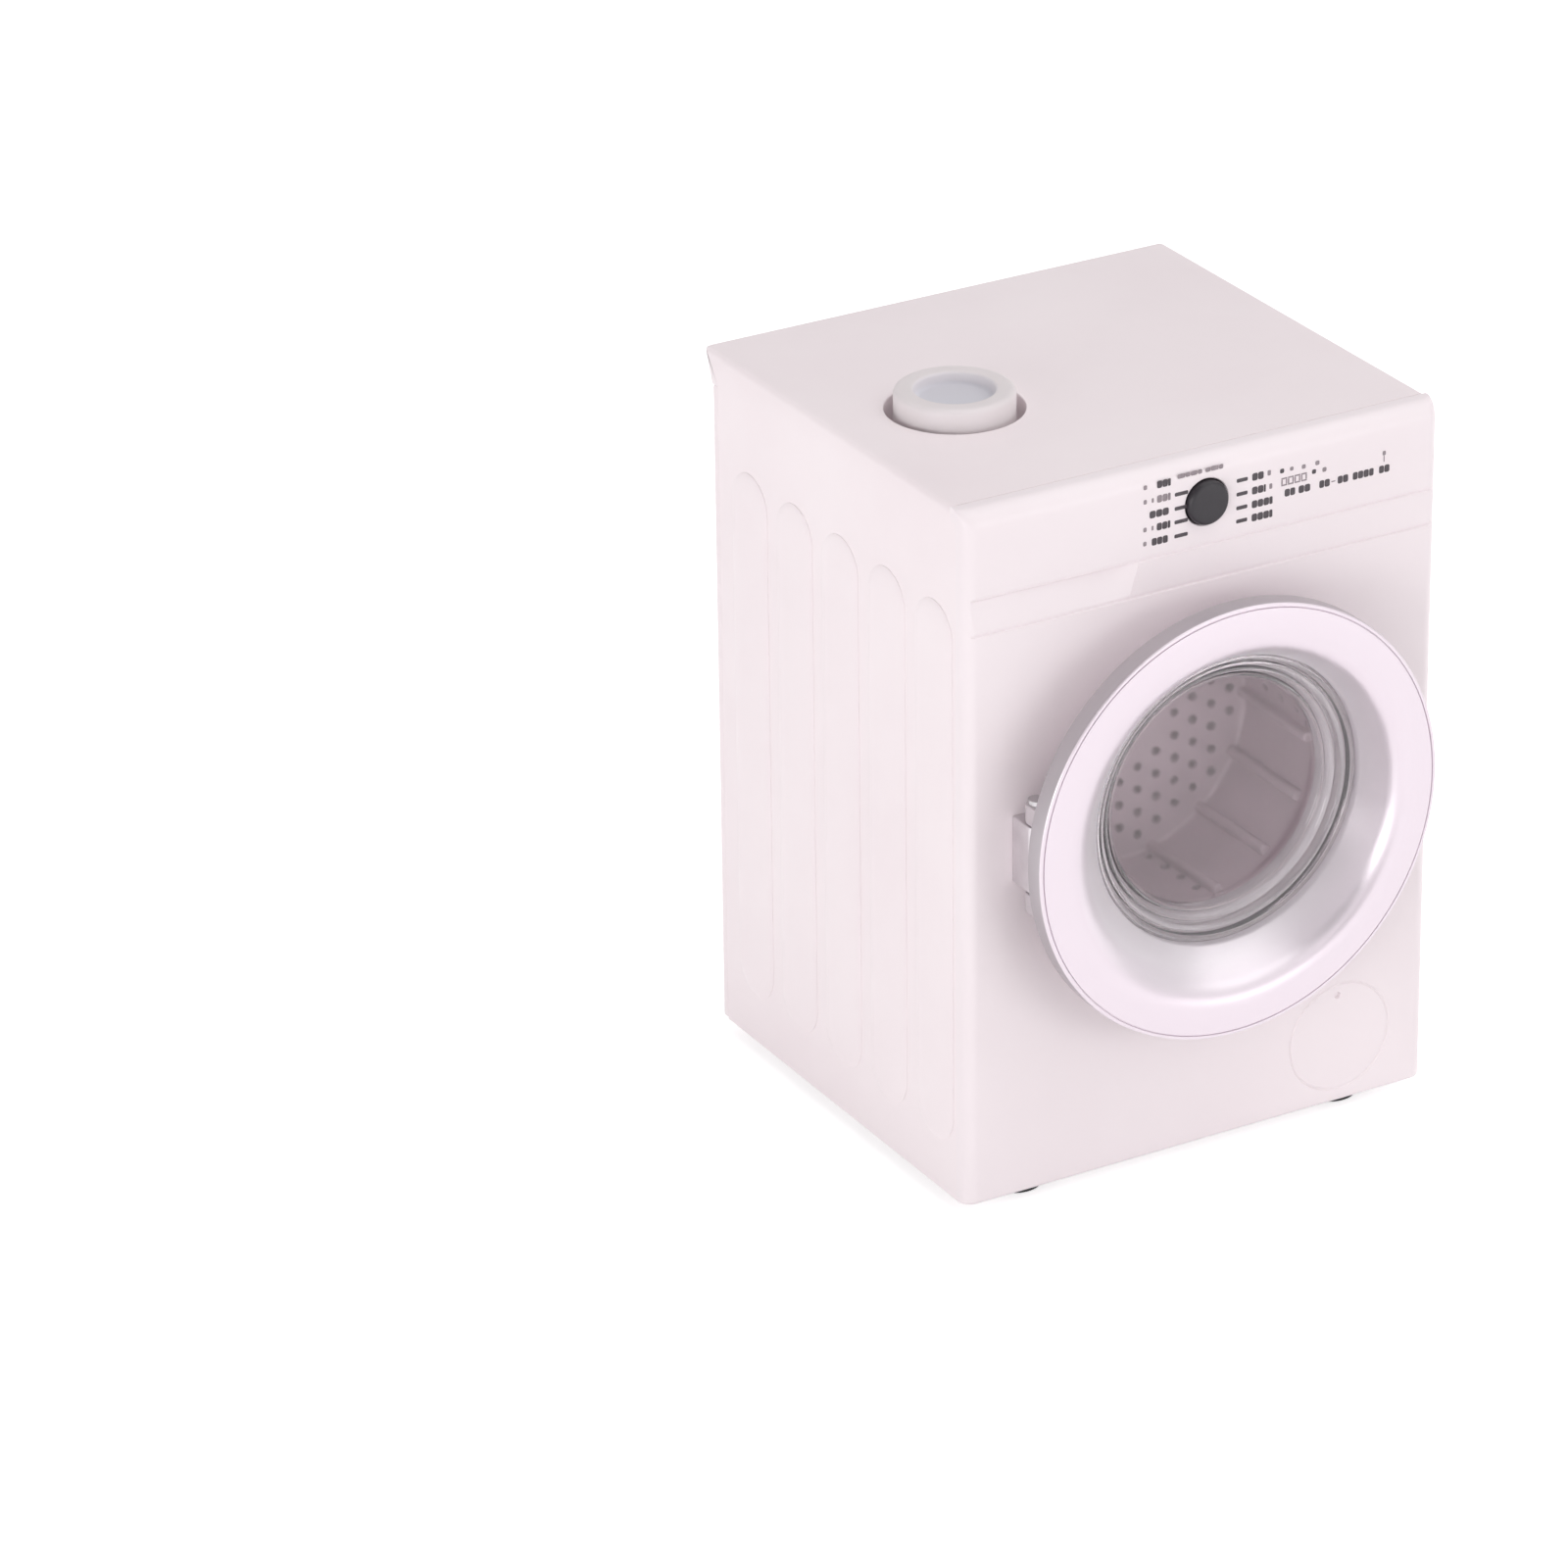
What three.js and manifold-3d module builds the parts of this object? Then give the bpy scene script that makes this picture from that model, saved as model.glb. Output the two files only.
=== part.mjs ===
// Toy front-loading washing machine: hinged door, belt-driven drum, push button and water filler.
// Millimetres, +Z up, front towards -Y, origin on the ground under the middle of the outer box.
import * as THREE from 'three';
import { mergeVertices } from 'three/addons/utils/BufferGeometryUtils.js';
import Module from 'manifold-3d';

const wasm = await Module();
wasm.setup();

// Cabinet
const cabinetWidth = 58.4;
const cabinetDepth = 52.6;
const cabinetHeight = 80;
const wall = 1.6;
const rearOverhang = 1.8;
const overhangDrop = 3.8;
const overhangLip = 0.5;
const footHeight = 1.5;
const footRadius = 3;
const footFromSide = 9;
const footFromEnd = 5;
const footPegRadius = 1.2;
const footPegLength = 0.9;
const coverThickness = 1.2;

// Front panel
const panelThickness = 2;
const panelTopWrap = 3;
const panelCornerRadius = 1.5;
const panelTopRadius = 2;
const grooveDepth = 0.3;
const grooveWidth = 0.4;
const upperGrooveDrop = 9.7;
const lowerGrooveDrop = 13.7;
const drawerFromLeft = 0.8;
const drawerLength = 19.4;
const drawerSlant = 1.2;
const drawerDepth = 0.9;
const filterX = 18;
const filterHeight = 8;
const filterRadius = 6.3;
const tongueThickness = 1.2;
const tongueLength = 5;
const tongueHeight = 6;
const tongueHeights = [14, 61];

// Side ribs
const ribCount = 5;
const ribWidth = 7.6;
const ribPitch = 9.6;
const ribRise = 0.3;
const ribBottom = 5.8;
const ribTop = 68.5;
const ribFrontMargin = 2.5;

// Door: distances ahead of the panel face are positive towards the viewer
const doorHeight = 41.1;
const ringRadius = 24.7;
const ringFrontAhead = 7.3;
const ringBandWidth = 2.4;
const ringWall = 1.2;
const rimRadius = 19.8;
const rimAhead = 7.7;
const windowX = 2;
const windowRadius = 16.5;
const windowAhead = 2.1;
const windowLip = 0.9;
const glassThickness = 0.8;
const glassEndRadius = 12.8;
const glassEndDepth = 1.1;
const glassRidges = 3;
const glassRidgeRise = 0.35;
const linerThickness = 0.8;
const hingeX = -22.4;
const hingeAhead = 3;
const hingeBlockHeight = 7.6;
const knuckleRadius = 1.2;
const knuckleHeight = 2.2;
const knuckleGap = 0.2;
const hingePinRadius = 0.6;
const hingePinHead = 0.5;
const catchX = 22.2;
const catchThickness = 1;
const catchHeight = 4;
const catchBarb = 0.6;
const catchReach = 2.8;
const catchSway = 0.8;
const catchSlotGap = 0.4;
const catchSlotAbove = 2.6;

// Drum and tub, measured back from the panel face
const sealInnerRadius = 15;
const sealFlangeRadius = 19.6;
const sealFlange = 1;
const sealLipWall = 1.5;
const sealLipFront = 0.6;
const tubInnerRadius = 17.6;
const tubWall = 1.4;
const tubLength = 30;
const tubBossRadius = 5.4;
const tubBossLength = 3.5;
const tubInnerBoss = 1.4;
const tubEarRadius = 2.4;
const tubScrewRadius = 21.6;
const drumRadius = 16.2;
const drumWall = 0.8;
const drumLipRadius = 14.9;
const drumLip = 1;
const drumBackThickness = 1.2;
const drumGap = 0.4;
const drumLength = 16.9;
const drumHoleRadius = 0.5;
const drumHolePitch = 2.6;
const drumHoleField = 13.9;
const drumRibCount = 14;
const drumRibFirstAngle = 2;
const drumRibWidth = 1.3;
const drumRibCrestWidth = 1;
const drumRibHeight = 0.9;
const drumRibFromFront = 2.8;
const hubRadius = 5;
const hubNeckRadius = 3.4;
const hubLength = 6.6;
const shaftRadius = 1.5;
const bushRadius = 3;
const bushLength = 4.4;
const shaftSealLength = 1.4;

// Drive
const pulleyGap = 1.5;
const pulleyWidth = 3;
const drumPulleyRadius = 12;
const motorPulleyRadius = 3;
const pulleyFlange = 0.9;
const pulleyFlangeWidth = 0.5;
const pulleyWeb = 1.2;
const beltThickness = 0.8;
const beltWidth = 1.7;
const motorWidth = 20;
const motorFlat = 15;
const motorLength = 25;
const motorGap = 2.5;
const motorBoardGap = 3.6;
const motorBoss = 1.5;
const motorBossRadius = 3;
const motorShaftRadius = 0.9;
const bracketThickness = 1.2;
const bracketLength = 16;
const bracketWing = 4.2;
const bracketCheek = 10;

// Filler
const fillerX = -15.1;
const fillerDepth = 25.5;
const pocketRadius = 7.8;
const pocketDepth = 3.2;
const pocketWall = 1.2;
const capRadius = 6.5;
const capProud = 2.2;
const capFingerRadius = 4.2;
const capFingerDepth = 1.2;
const capWeb = 1.4;
const plugLength = 4.6;
const plugWall = 1.3;
const neckRadius = 5.2;
const neckBore = 4;
const neckFlange = 1.4;
const neckSocket = 2.4;
const spigotTopRise = 19.4;
const spigotFloorRise = 3.4;

// Button and switch
const buttonRadius = 2.65;
const buttonDrop = 4.9;
const buttonProud = 0.8;
const buttonTravel = 0.7;
const buttonFlange = 0.8;
const buttonFlangeRadius = 3.15;
const plungerRadius = 1.1;
const plungerLength = 1.6;
const switchSize = 6;
const switchBodyLength = 3.5;
const switchBoardWidth = 14;
const switchBoardHeight = 6.8;
const boardThickness = 1;
const pillarX = 5.4;
const pillarRadius = 1.2;

// Power
const batteryThickness = 5.5;
const batteryHeight = 20;
const batteryFromWall = 2.1;
const batteryPostGap = 0.5;
const batteryEdge = 1;
const railHeight = 3;
const railThickness = 0.6;
const railFromEnd = 2.8;
const boardFromWall = 8.6;
const boardCoverGap = 0.2;
const boardWidth = 15.5;
const boardLength = 13.6;
const boardStandoff = 2.5;
const standoffRadius = 1.2;
const portWidth = 8.94;
const portHeight = 3.26;
const portLength = 7.3;
const portWall = 0.3;
const portTongueWidth = 6.7;
const portTongueHeight = 0.7;
const portTongueLength = 4.5;
const leadRadius = 0.6;
const leadGap = 0.3;
const leadFromWall = 3.2;

// Screws
const screwHeadRadius = 1.4;
const screwHeadHeight = 0.8;
const screwShankRadius = 0.7;
const postRadius = 2.2;
const postFromWall = 2.4;
const postLength = 8.5;
const screwLength = 6;
const backScrewHeights = [9, 72];
const baseScrewFromEnd = 9;

// Clearances
const slip = 0.1;
const running = 0.15;
const press = 0.05;

// Facets round a full circle
const largeFacets = 40;
const mediumFacets = 24;
const smallFacets = 12;
const screwFacets = 8;
const holeFacets = 6;
const arcFacets = 3;

// Places worked out from the sizes above
const totalDepth = rimAhead + cabinetDepth + rearOverhang;
const frontY = rimAhead - totalDepth / 2;
const backY = frontY + cabinetDepth;
const rearY = backY + rearOverhang;
const bottomZ = footHeight;
const topZ = footHeight + cabinetHeight;
const baseTopZ = bottomZ + wall;
const innerX = cabinetWidth / 2 - wall;
const doorZ = bottomZ + doorHeight;
const fillerY = frontY + fillerDepth;
const pocketFloorZ = topZ - pocketDepth;
const pocketUnderZ = pocketFloorZ - neckFlange;
const spigotTopZ = doorZ + spigotTopRise;
const spigotFloorZ = doorZ + spigotFloorRise;
const tubFront = panelThickness + sealFlange;
const tubBack = tubFront + tubLength;
const tubRadius = tubInnerRadius + tubWall;
const drumFront = tubFront + drumGap;
const drumBack = drumFront + drumLength;
const drumFloor = drumBack - drumBackThickness;
const bushEnd = tubBack + tubBossLength;
const coverFront = cabinetDepth - coverThickness;
const boardBack = coverFront - boardCoverGap;
const boardFront = boardBack - boardLength;
const pulleyFront = bushEnd + pulleyGap;
const beltPlane = pulleyFront + pulleyWidth / 2;
const pulleyBack = pulleyFront + pulleyWidth;
const motorZ = baseTopZ + bracketThickness + motorFlat / 2;
const motorBack = Math.min(pulleyFront - motorBoss - motorGap, boardFront - motorBoardGap);
const motorFront = motorBack - motorLength;
const buttonZ = topZ - buttonDrop;
const buttonBack = panelThickness + slip + buttonFlange;
const switchFront = buttonBack + buttonTravel + 0.3;
const switchBack = switchFront + switchBodyLength;
const boardX = boardFromWall + boardWidth / 2 - innerX;
const boardZ = baseTopZ + boardStandoff;
const portZ = boardZ + boardThickness + portHeight / 2;
const ringRear = ringFrontAhead - ringBandWidth;
const postX = innerX - postFromWall;
const batteryX = batteryFromWall + batteryThickness / 2 - innerX;
const batteryFront = baseScrewFromEnd + postRadius + batteryPostGap;
const batteryBack = coverFront - baseScrewFromEnd - postRadius - batteryPostGap;

function back(depth) {
  return frontY + depth;
}

function ahead(distance) {
  return frontY - distance;
}

// Shapes and solids

function toSolid(geometry) {
  const bare = new THREE.BufferGeometry();
  bare.setAttribute('position', geometry.getAttribute('position').clone());
  if (geometry.index) bare.setIndex(geometry.index.clone());
  const merged = mergeVertices(bare, 1e-5);
  const corners = merged.index.array;
  const triVerts = [];
  for (let i = 0; i < corners.length; i += 3) {
    const [a, b, c] = corners.slice(i, i + 3);
    if (a !== b && b !== c && c !== a) triVerts.push(a, b, c);
  }
  return new wasm.Manifold(new wasm.Mesh({
    numProp: 3,
    vertProperties: Float32Array.from(merged.getAttribute('position').array),
    triVerts: Uint32Array.from(triVerts),
  }));
}

function join(...solids) {
  return solids.reduce((whole, piece) => whole.add(piece));
}

function cut(solid, ...tools) {
  return tools.reduce((left, tool) => left.subtract(tool), solid);
}

function block(x, y, z) {
  const geometry = new THREE.BoxGeometry(x[1] - x[0], y[1] - y[0], z[1] - z[0]);
  geometry.translate((x[0] + x[1]) / 2, (y[0] + y[1]) / 2, (z[0] + z[1]) / 2);
  return toSolid(geometry);
}

function rodY(radius, x, z, y0, y1, facets = smallFacets) {
  const geometry = new THREE.CylinderGeometry(radius, radius, y1 - y0, facets);
  geometry.translate(x, (y0 + y1) / 2, z);
  return toSolid(geometry);
}

function rodZ(radius, x, y, z0, z1, facets = smallFacets) {
  const geometry = new THREE.CylinderGeometry(radius, radius, z1 - z0, facets);
  geometry.rotateX(Math.PI / 2);
  geometry.translate(x, y, (z0 + z1) / 2);
  return toSolid(geometry);
}

// A profile of [radius, along] points is put in the order that makes its faces point out
function orderedProfile(profile) {
  let area = 0;
  profile.forEach(([r, h], i) => {
    const [r2, h2] = profile[(i + 1) % profile.length];
    area += r * h2 - r2 * h;
  });
  const ordered = area > 0 ? [...profile] : [...profile].reverse();
  if (ordered.every(([r]) => r > 0)) ordered.push(ordered[0]);
  return ordered;
}

function turnedY(profile, x, z, facets = largeFacets) {
  const points = orderedProfile(profile).map(([r, h]) => new THREE.Vector2(r, h));
  const geometry = new THREE.LatheGeometry(points, facets);
  geometry.translate(x, 0, z);
  return toSolid(geometry);
}

function turnedZ(profile, x, y, facets = mediumFacets) {
  const points = orderedProfile(profile).map(([r, h]) => new THREE.Vector2(r, h));
  const geometry = new THREE.LatheGeometry(points, facets);
  geometry.rotateX(Math.PI / 2);
  geometry.translate(x, y, 0);
  return toSolid(geometry);
}

// A ring whose sections are circles of [radius, y, centre x], so its inside may lie off centre
function loftedRing(profile, z, facets = largeFacets) {
  const loop = orderedProfile(profile).slice(0, -1);
  const corners = [];
  const faces = [];
  for (let i = 0; i < facets; i += 1) {
    const angle = (i / facets) * 2 * Math.PI;
    for (const [r, y, x] of loop) corners.push(x + r * Math.sin(angle), y, z + r * Math.cos(angle));
    for (let j = 0; j < loop.length; j += 1) {
      const next = (j + 1) % loop.length;
      const here = i * loop.length;
      const there = ((i + 1) % facets) * loop.length;
      faces.push(here + j, there + j, here + next, there + next, here + next, there + j);
    }
  }
  const geometry = new THREE.BufferGeometry();
  geometry.setAttribute('position', new THREE.BufferAttribute(Float32Array.from(corners), 3));
  geometry.setIndex(faces);
  return toSolid(geometry);
}

// Extrusions of a flat outline: drawn in XZ and pushed along Y, in YZ along X, or in XY along Z
function pushedY(shape, y0, y1) {
  const geometry = new THREE.ExtrudeGeometry(shape, { depth: y1 - y0, bevelEnabled: false, curveSegments: arcFacets * 2 });
  geometry.rotateX(Math.PI / 2);
  geometry.translate(0, y1, 0);
  return toSolid(geometry);
}

function pushedX(shape, x0, x1) {
  const geometry = new THREE.ExtrudeGeometry(shape, { depth: x1 - x0, bevelEnabled: false, curveSegments: arcFacets });
  const axes = [new THREE.Vector3(0, 1, 0), new THREE.Vector3(0, 0, 1), new THREE.Vector3(1, 0, 0)];
  geometry.applyMatrix4(new THREE.Matrix4().makeBasis(...axes));
  geometry.translate(x0, 0, 0);
  return toSolid(geometry);
}

function pushedZ(shape, z0, z1) {
  const geometry = new THREE.ExtrudeGeometry(shape, { depth: z1 - z0, bevelEnabled: false, curveSegments: arcFacets });
  geometry.translate(0, 0, z0);
  return toSolid(geometry);
}

function outline(points) {
  return new THREE.Shape(points.map(([u, v]) => new THREE.Vector2(u, v)));
}

function roundedBar(u0, u1, v0, v1, radius) {
  const shape = new THREE.Shape();
  shape.absarc(u1 - radius, v0 + radius, radius, -Math.PI / 2, 0);
  shape.absarc(u1 - radius, v1 - radius, radius, 0, Math.PI / 2);
  shape.absarc(u0 + radius, v1 - radius, radius, Math.PI / 2, Math.PI);
  shape.absarc(u0 + radius, v0 + radius, radius, Math.PI, 1.5 * Math.PI);
  shape.closePath();
  return shape;
}

function polar(radius, degrees, x, z) {
  const angle = THREE.MathUtils.degToRad(degrees);
  return [x + radius * Math.cos(angle), z + radius * Math.sin(angle)];
}

// Screws point along +Y or -Y from the underside of the head
function screwY(x, z, headFace, direction, length) {
  const shankEnd = headFace + direction * length;
  const headEnd = headFace - direction * screwHeadHeight;
  const profile = [[0, shankEnd], [screwShankRadius, shankEnd], [screwShankRadius, headFace],
    [screwHeadRadius, headFace], [screwHeadRadius, headEnd], [0, headEnd]];
  return turnedY(profile, x, z, screwFacets);
}

function screwZ(x, y, headFace, direction, length) {
  const shankEnd = headFace + direction * length;
  const headEnd = headFace - direction * screwHeadHeight;
  const profile = [[0, shankEnd], [screwShankRadius, shankEnd], [screwShankRadius, headFace],
    [screwHeadRadius, headFace], [screwHeadRadius, headEnd], [0, headEnd]];
  return turnedZ(profile, x, y, screwFacets);
}

const tubScrewPlaces = [45, 135, 225, 315].map((angle) => polar(tubScrewRadius, angle, windowX, doorZ));
const backScrewPlaces = backScrewHeights.flatMap((height) => [-1, 1].map((side) => [side * postX, bottomZ + height]));
const baseScrewPlaces = [frontY + baseScrewFromEnd, backY - baseScrewFromEnd - coverThickness]
  .flatMap((y) => [-1, 1].map((side) => [side * postX, y]));
const footPlaces = [frontY + footFromEnd, backY - footFromEnd]
  .flatMap((y) => [-1, 1].map((side) => [side * (cabinetWidth / 2 - footFromSide), y]));
const motorScrewPlaces = [-1, 1].map((side) => [
  windowX + side * (motorWidth / 2 + slip + bracketThickness + bracketWing / 2),
  back(motorFront + motorLength / 2)]);

// Casing

function cabinetShell() {
  const half = cabinetWidth / 2;
  const side = outline([
    [back(panelThickness), bottomZ], [back(coverFront), bottomZ], [back(coverFront), topZ - overhangDrop],
    [backY, topZ - overhangDrop], [rearY, topZ - overhangLip], [rearY, topZ],
    [back(panelTopWrap), topZ], [back(panelTopWrap), topZ - wall], [back(panelThickness), topZ - wall]]);
  const hollow = block([-innerX, innerX], [frontY, back(coverFront)], [bottomZ - wall, topZ - wall]);
  let shell = cut(pushedX(side, -half, half), hollow);
  for (const [x, z] of backScrewPlaces) {
    const wallSide = Math.sign(x) * (innerX + wall / 2);
    const web = block([Math.min(x, wallSide), Math.max(x, wallSide)], [back(coverFront - postLength), back(coverFront)],
      [z - postRadius / 2, z + postRadius / 2]);
    shell = join(shell, rodY(postRadius, x, z, back(coverFront - postLength), back(coverFront)), web);
    shell = cut(shell, rodY(screwShankRadius + press, x, z, back(coverFront - screwLength), back(coverFront) + 1));
  }
  for (const [x, y] of baseScrewPlaces) {
    const wallSide = Math.sign(x) * (innerX + wall / 2);
    const web = block([Math.min(x, wallSide), Math.max(x, wallSide)], [y - postRadius / 2, y + postRadius / 2],
      [baseTopZ, baseTopZ + postLength]);
    shell = join(shell, rodZ(postRadius, x, y, baseTopZ, baseTopZ + postLength), web);
    shell = cut(shell, rodZ(screwShankRadius + press, x, y, baseTopZ - 1, baseTopZ + screwLength));
  }
  shell = join(shell, rodZ(pocketRadius + pocketWall, fillerX, fillerY, pocketUnderZ, topZ, largeFacets));
  shell = cut(shell, rodZ(pocketRadius, fillerX, fillerY, pocketFloorZ, topZ + 1, largeFacets));
  shell = cut(shell, rodZ(neckRadius + slip, fillerX, fillerY, pocketUnderZ - 1, topZ, largeFacets));
  for (let i = 0; i < ribCount; i += 1) {
    const y = back(ribFrontMargin) + i * ribPitch;
    const rib = roundedBar(y, y + ribWidth, bottomZ + ribBottom, bottomZ + ribTop, ribWidth / 2);
    shell = join(shell, pushedX(rib, half - ribRise, half + ribRise), pushedX(rib, -half - ribRise, -half + ribRise));
  }
  return shell;
}

function frontPanel() {
  const half = cabinetWidth / 2;
  const profile = new THREE.Shape();
  profile.moveTo(frontY, bottomZ);
  profile.lineTo(back(panelThickness), bottomZ);
  profile.lineTo(back(panelThickness), topZ - wall);
  profile.lineTo(back(panelTopWrap), topZ - wall);
  profile.lineTo(back(panelTopWrap), topZ);
  profile.absarc(frontY + panelTopRadius, topZ - panelTopRadius, panelTopRadius, Math.PI / 2, Math.PI);
  const footprint = roundedBar(-half, half, frontY, backY, panelCornerRadius);
  let panel = pushedX(profile, -half, half).intersect(pushedZ(footprint, bottomZ, topZ));
  for (const height of tongueHeights) {
    for (const side of [-1, 1]) {
      const outer = side * (innerX - slip);
      const inner = outer - side * tongueThickness;
      panel = join(panel, block([Math.min(outer, inner), Math.max(outer, inner)],
        [back(panelThickness / 2), back(panelThickness + tongueLength)],
        [bottomZ + height, bottomZ + height + tongueHeight]));
    }
  }
  for (const side of [-1, 1]) {
    const x = side * pillarX;
    panel = join(panel, rodY(pillarRadius, x, buttonZ, back(panelThickness / 2), back(switchBack)));
    panel = join(panel, rodY(pillarRadius / 2, x, buttonZ, back(panelThickness), back(switchBack + boardThickness + 0.2)));
  }
  for (const [x, z] of tubScrewPlaces) {
    panel = join(panel, rodY(postRadius - 0.3, x, z, back(panelThickness / 2), back(tubFront)));
    panel = cut(panel, rodY(screwShankRadius + press, x, z, back(panelThickness / 2), back(tubFront + 1)));
  }
  return cut(panel, ...panelCuts());
}

function panelCuts() {
  const half = cabinetWidth / 2;
  const cuts = [upperGrooveDrop, lowerGrooveDrop].map((drop) => block([-half - 1, half + 1],
    [frontY - 1, back(grooveDepth)], [topZ - drop - grooveWidth / 2, topZ - drop + grooveWidth / 2]));
  cuts.push(drawerScoop());
  cuts.push(rodY(tubInnerRadius + 0.2, windowX, doorZ, frontY - 1, back(panelThickness + 1), largeFacets));
  cuts.push(rodY(buttonRadius + running, 0, buttonZ, frontY - 1, back(panelThickness + 1), mediumFacets));
  cuts.push(block([catchX - catchSlotGap, catchX + catchThickness + catchBarb + catchSway],
    [frontY - 1, back(panelThickness + 1)],
    [doorZ - catchHeight / 2 - catchSlotGap, doorZ + catchHeight / 2 + catchSlotAbove]));
  const z = bottomZ + filterHeight;
  const [inside, outside] = [filterRadius - grooveWidth / 2, filterRadius + grooveWidth / 2];
  cuts.push(turnedY([[inside, frontY - 1], [outside, frontY - 1], [outside, back(grooveDepth)],
    [inside, back(grooveDepth)]], filterX, z));
  cuts.push(rodY(grooveWidth, filterX, z + filterRadius * 0.8, frontY - 1, back(grooveDepth)));
  return cuts;
}

// The grip is deepest under its upper edge and runs out to the face at the lower groove
function drawerScoop() {
  const left = -cabinetWidth / 2 + drawerFromLeft;
  const right = left + drawerLength;
  const high = topZ - upperGrooveDrop;
  const low = topZ - lowerGrooveDrop;
  const wedge = outline([[frontY - 1, low], [frontY, low], [back(drawerDepth), high - grooveWidth],
    [back(drawerDepth), high], [frontY - 1, high]]);
  const face = outline([[left, low - 1], [right - drawerSlant, low - 1], [right, high + 1], [left, high + 1]]);
  return pushedX(wedge, left, right).intersect(pushedY(face, frontY - 2, back(panelThickness)));
}

function backCover() {
  const half = cabinetWidth / 2;
  const edge = outline([[-half, bottomZ], [half, bottomZ], [half, topZ - overhangDrop], [-half, topZ - overhangDrop]]);
  let cover = pushedY(edge, back(coverFront), backY);
  for (const [x, z] of backScrewPlaces) {
    cover = cut(cover, rodY(screwHeadRadius + slip, x, z, backY - screwHeadHeight, backY + 1));
    cover = cut(cover, rodY(screwShankRadius + slip, x, z, back(coverFront) - 1, backY));
  }
  const port = roundedBar(boardX - portWidth / 2 - 0.2, boardX + portWidth / 2 + 0.2,
    portZ - portHeight / 2 - 0.2, portZ + portHeight / 2 + 0.2, portHeight / 2 - 0.1);
  return cut(cover, pushedY(port, back(coverFront) - 1, backY + 1));
}

function basePlate() {
  let plate = block([-innerX + slip, innerX - slip], [back(panelThickness), back(coverFront)], [bottomZ, baseTopZ]);
  for (const [x, y] of baseScrewPlaces) {
    plate = cut(plate, rodZ(screwHeadRadius + slip, x, y, bottomZ - 1, bottomZ + screwHeadHeight));
    plate = cut(plate, rodZ(screwShankRadius + slip, x, y, bottomZ, baseTopZ + 1));
  }
  for (const [x, y] of footPlaces) {
    plate = cut(plate, rodZ(footPegRadius + slip, x, y, bottomZ - 1, bottomZ + footPegLength + slip));
  }
  for (const [x, y] of motorScrewPlaces) {
    plate = cut(plate, rodZ(screwShankRadius + press, x, y, bottomZ + 0.3, baseTopZ + 1));
  }
  for (const side of [-1, 1]) {
    const near = batteryX + side * (batteryThickness / 2 + slip);
    const far = near + side * railThickness;
    plate = join(plate, block([Math.min(near, far), Math.max(near, far)],
      [back(batteryFront + railFromEnd), back(batteryBack - railFromEnd)],
      [bottomZ + wall / 2, baseTopZ + railHeight]));
  }
  for (const x of [boardX - boardWidth * 0.4, boardX + boardWidth * 0.4]) {
    for (const depth of [boardFront + boardLength * 0.1, boardBack - boardLength * 0.1]) {
      plate = join(plate, rodZ(standoffRadius, x, back(depth), bottomZ + wall / 2, boardZ));
    }
  }
  return plate;
}

function foot(x, y) {
  return turnedZ([[0, 0], [footRadius, 0], [footRadius, bottomZ], [footPegRadius, bottomZ],
    [footPegRadius, bottomZ + footPegLength], [0, bottomZ + footPegLength]], x, y, smallFacets);
}

// Tub, drum and bearings

function doorSeal() {
  const lipRadius = sealInnerRadius + sealLipWall;
  const bead = (sealInnerRadius + lipRadius) / 2;
  return turnedY([[sealInnerRadius, back(tubFront)], [sealInnerRadius, back(sealLipFront + 0.4)],
    [bead, back(sealLipFront)], [lipRadius, back(sealLipFront + 0.4)], [lipRadius, back(panelThickness)],
    [sealFlangeRadius, back(panelThickness)], [sealFlangeRadius, back(tubFront)]], windowX, doorZ);
}

function outerTub() {
  const bore = bushRadius + press;
  const inner = tubBack - tubWall;
  let tub = turnedY([[tubInnerRadius, back(tubFront)], [sealFlangeRadius, back(tubFront)],
    [sealFlangeRadius, back(tubFront + tubWall)], [tubRadius, back(tubFront + tubWall)],
    [tubRadius, back(tubBack)], [tubBossRadius, back(tubBack)], [tubBossRadius, back(bushEnd)],
    [bore, back(bushEnd)], [bore, back(inner - tubInnerBoss)], [tubBossRadius, back(inner - tubInnerBoss)],
    [tubBossRadius, back(inner)], [tubInnerRadius, back(inner)]], windowX, doorZ);
  for (const [x, z] of tubScrewPlaces) {
    tub = join(tub, rodY(tubEarRadius, x, z, back(tubFront), back(tubFront + tubWall)));
    tub = cut(tub, rodY(screwShankRadius + slip, x, z, back(tubFront) - 1, back(tubFront + tubWall) + 1));
  }
  const cavity = rodY(tubInnerRadius, windowX, doorZ, back(tubFront), back(inner), largeFacets);
  const spigot = cut(rodZ(neckRadius, fillerX, fillerY, doorZ, spigotTopZ, mediumFacets),
    rodZ(neckBore, fillerX, fillerY, spigotFloorZ, spigotTopZ + 1, mediumFacets), cavity);
  const inlet = rodZ(neckBore, fillerX, fillerY, spigotFloorZ, spigotTopZ + 1, mediumFacets);
  return join(cut(tub, inlet), spigot);
}

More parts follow.
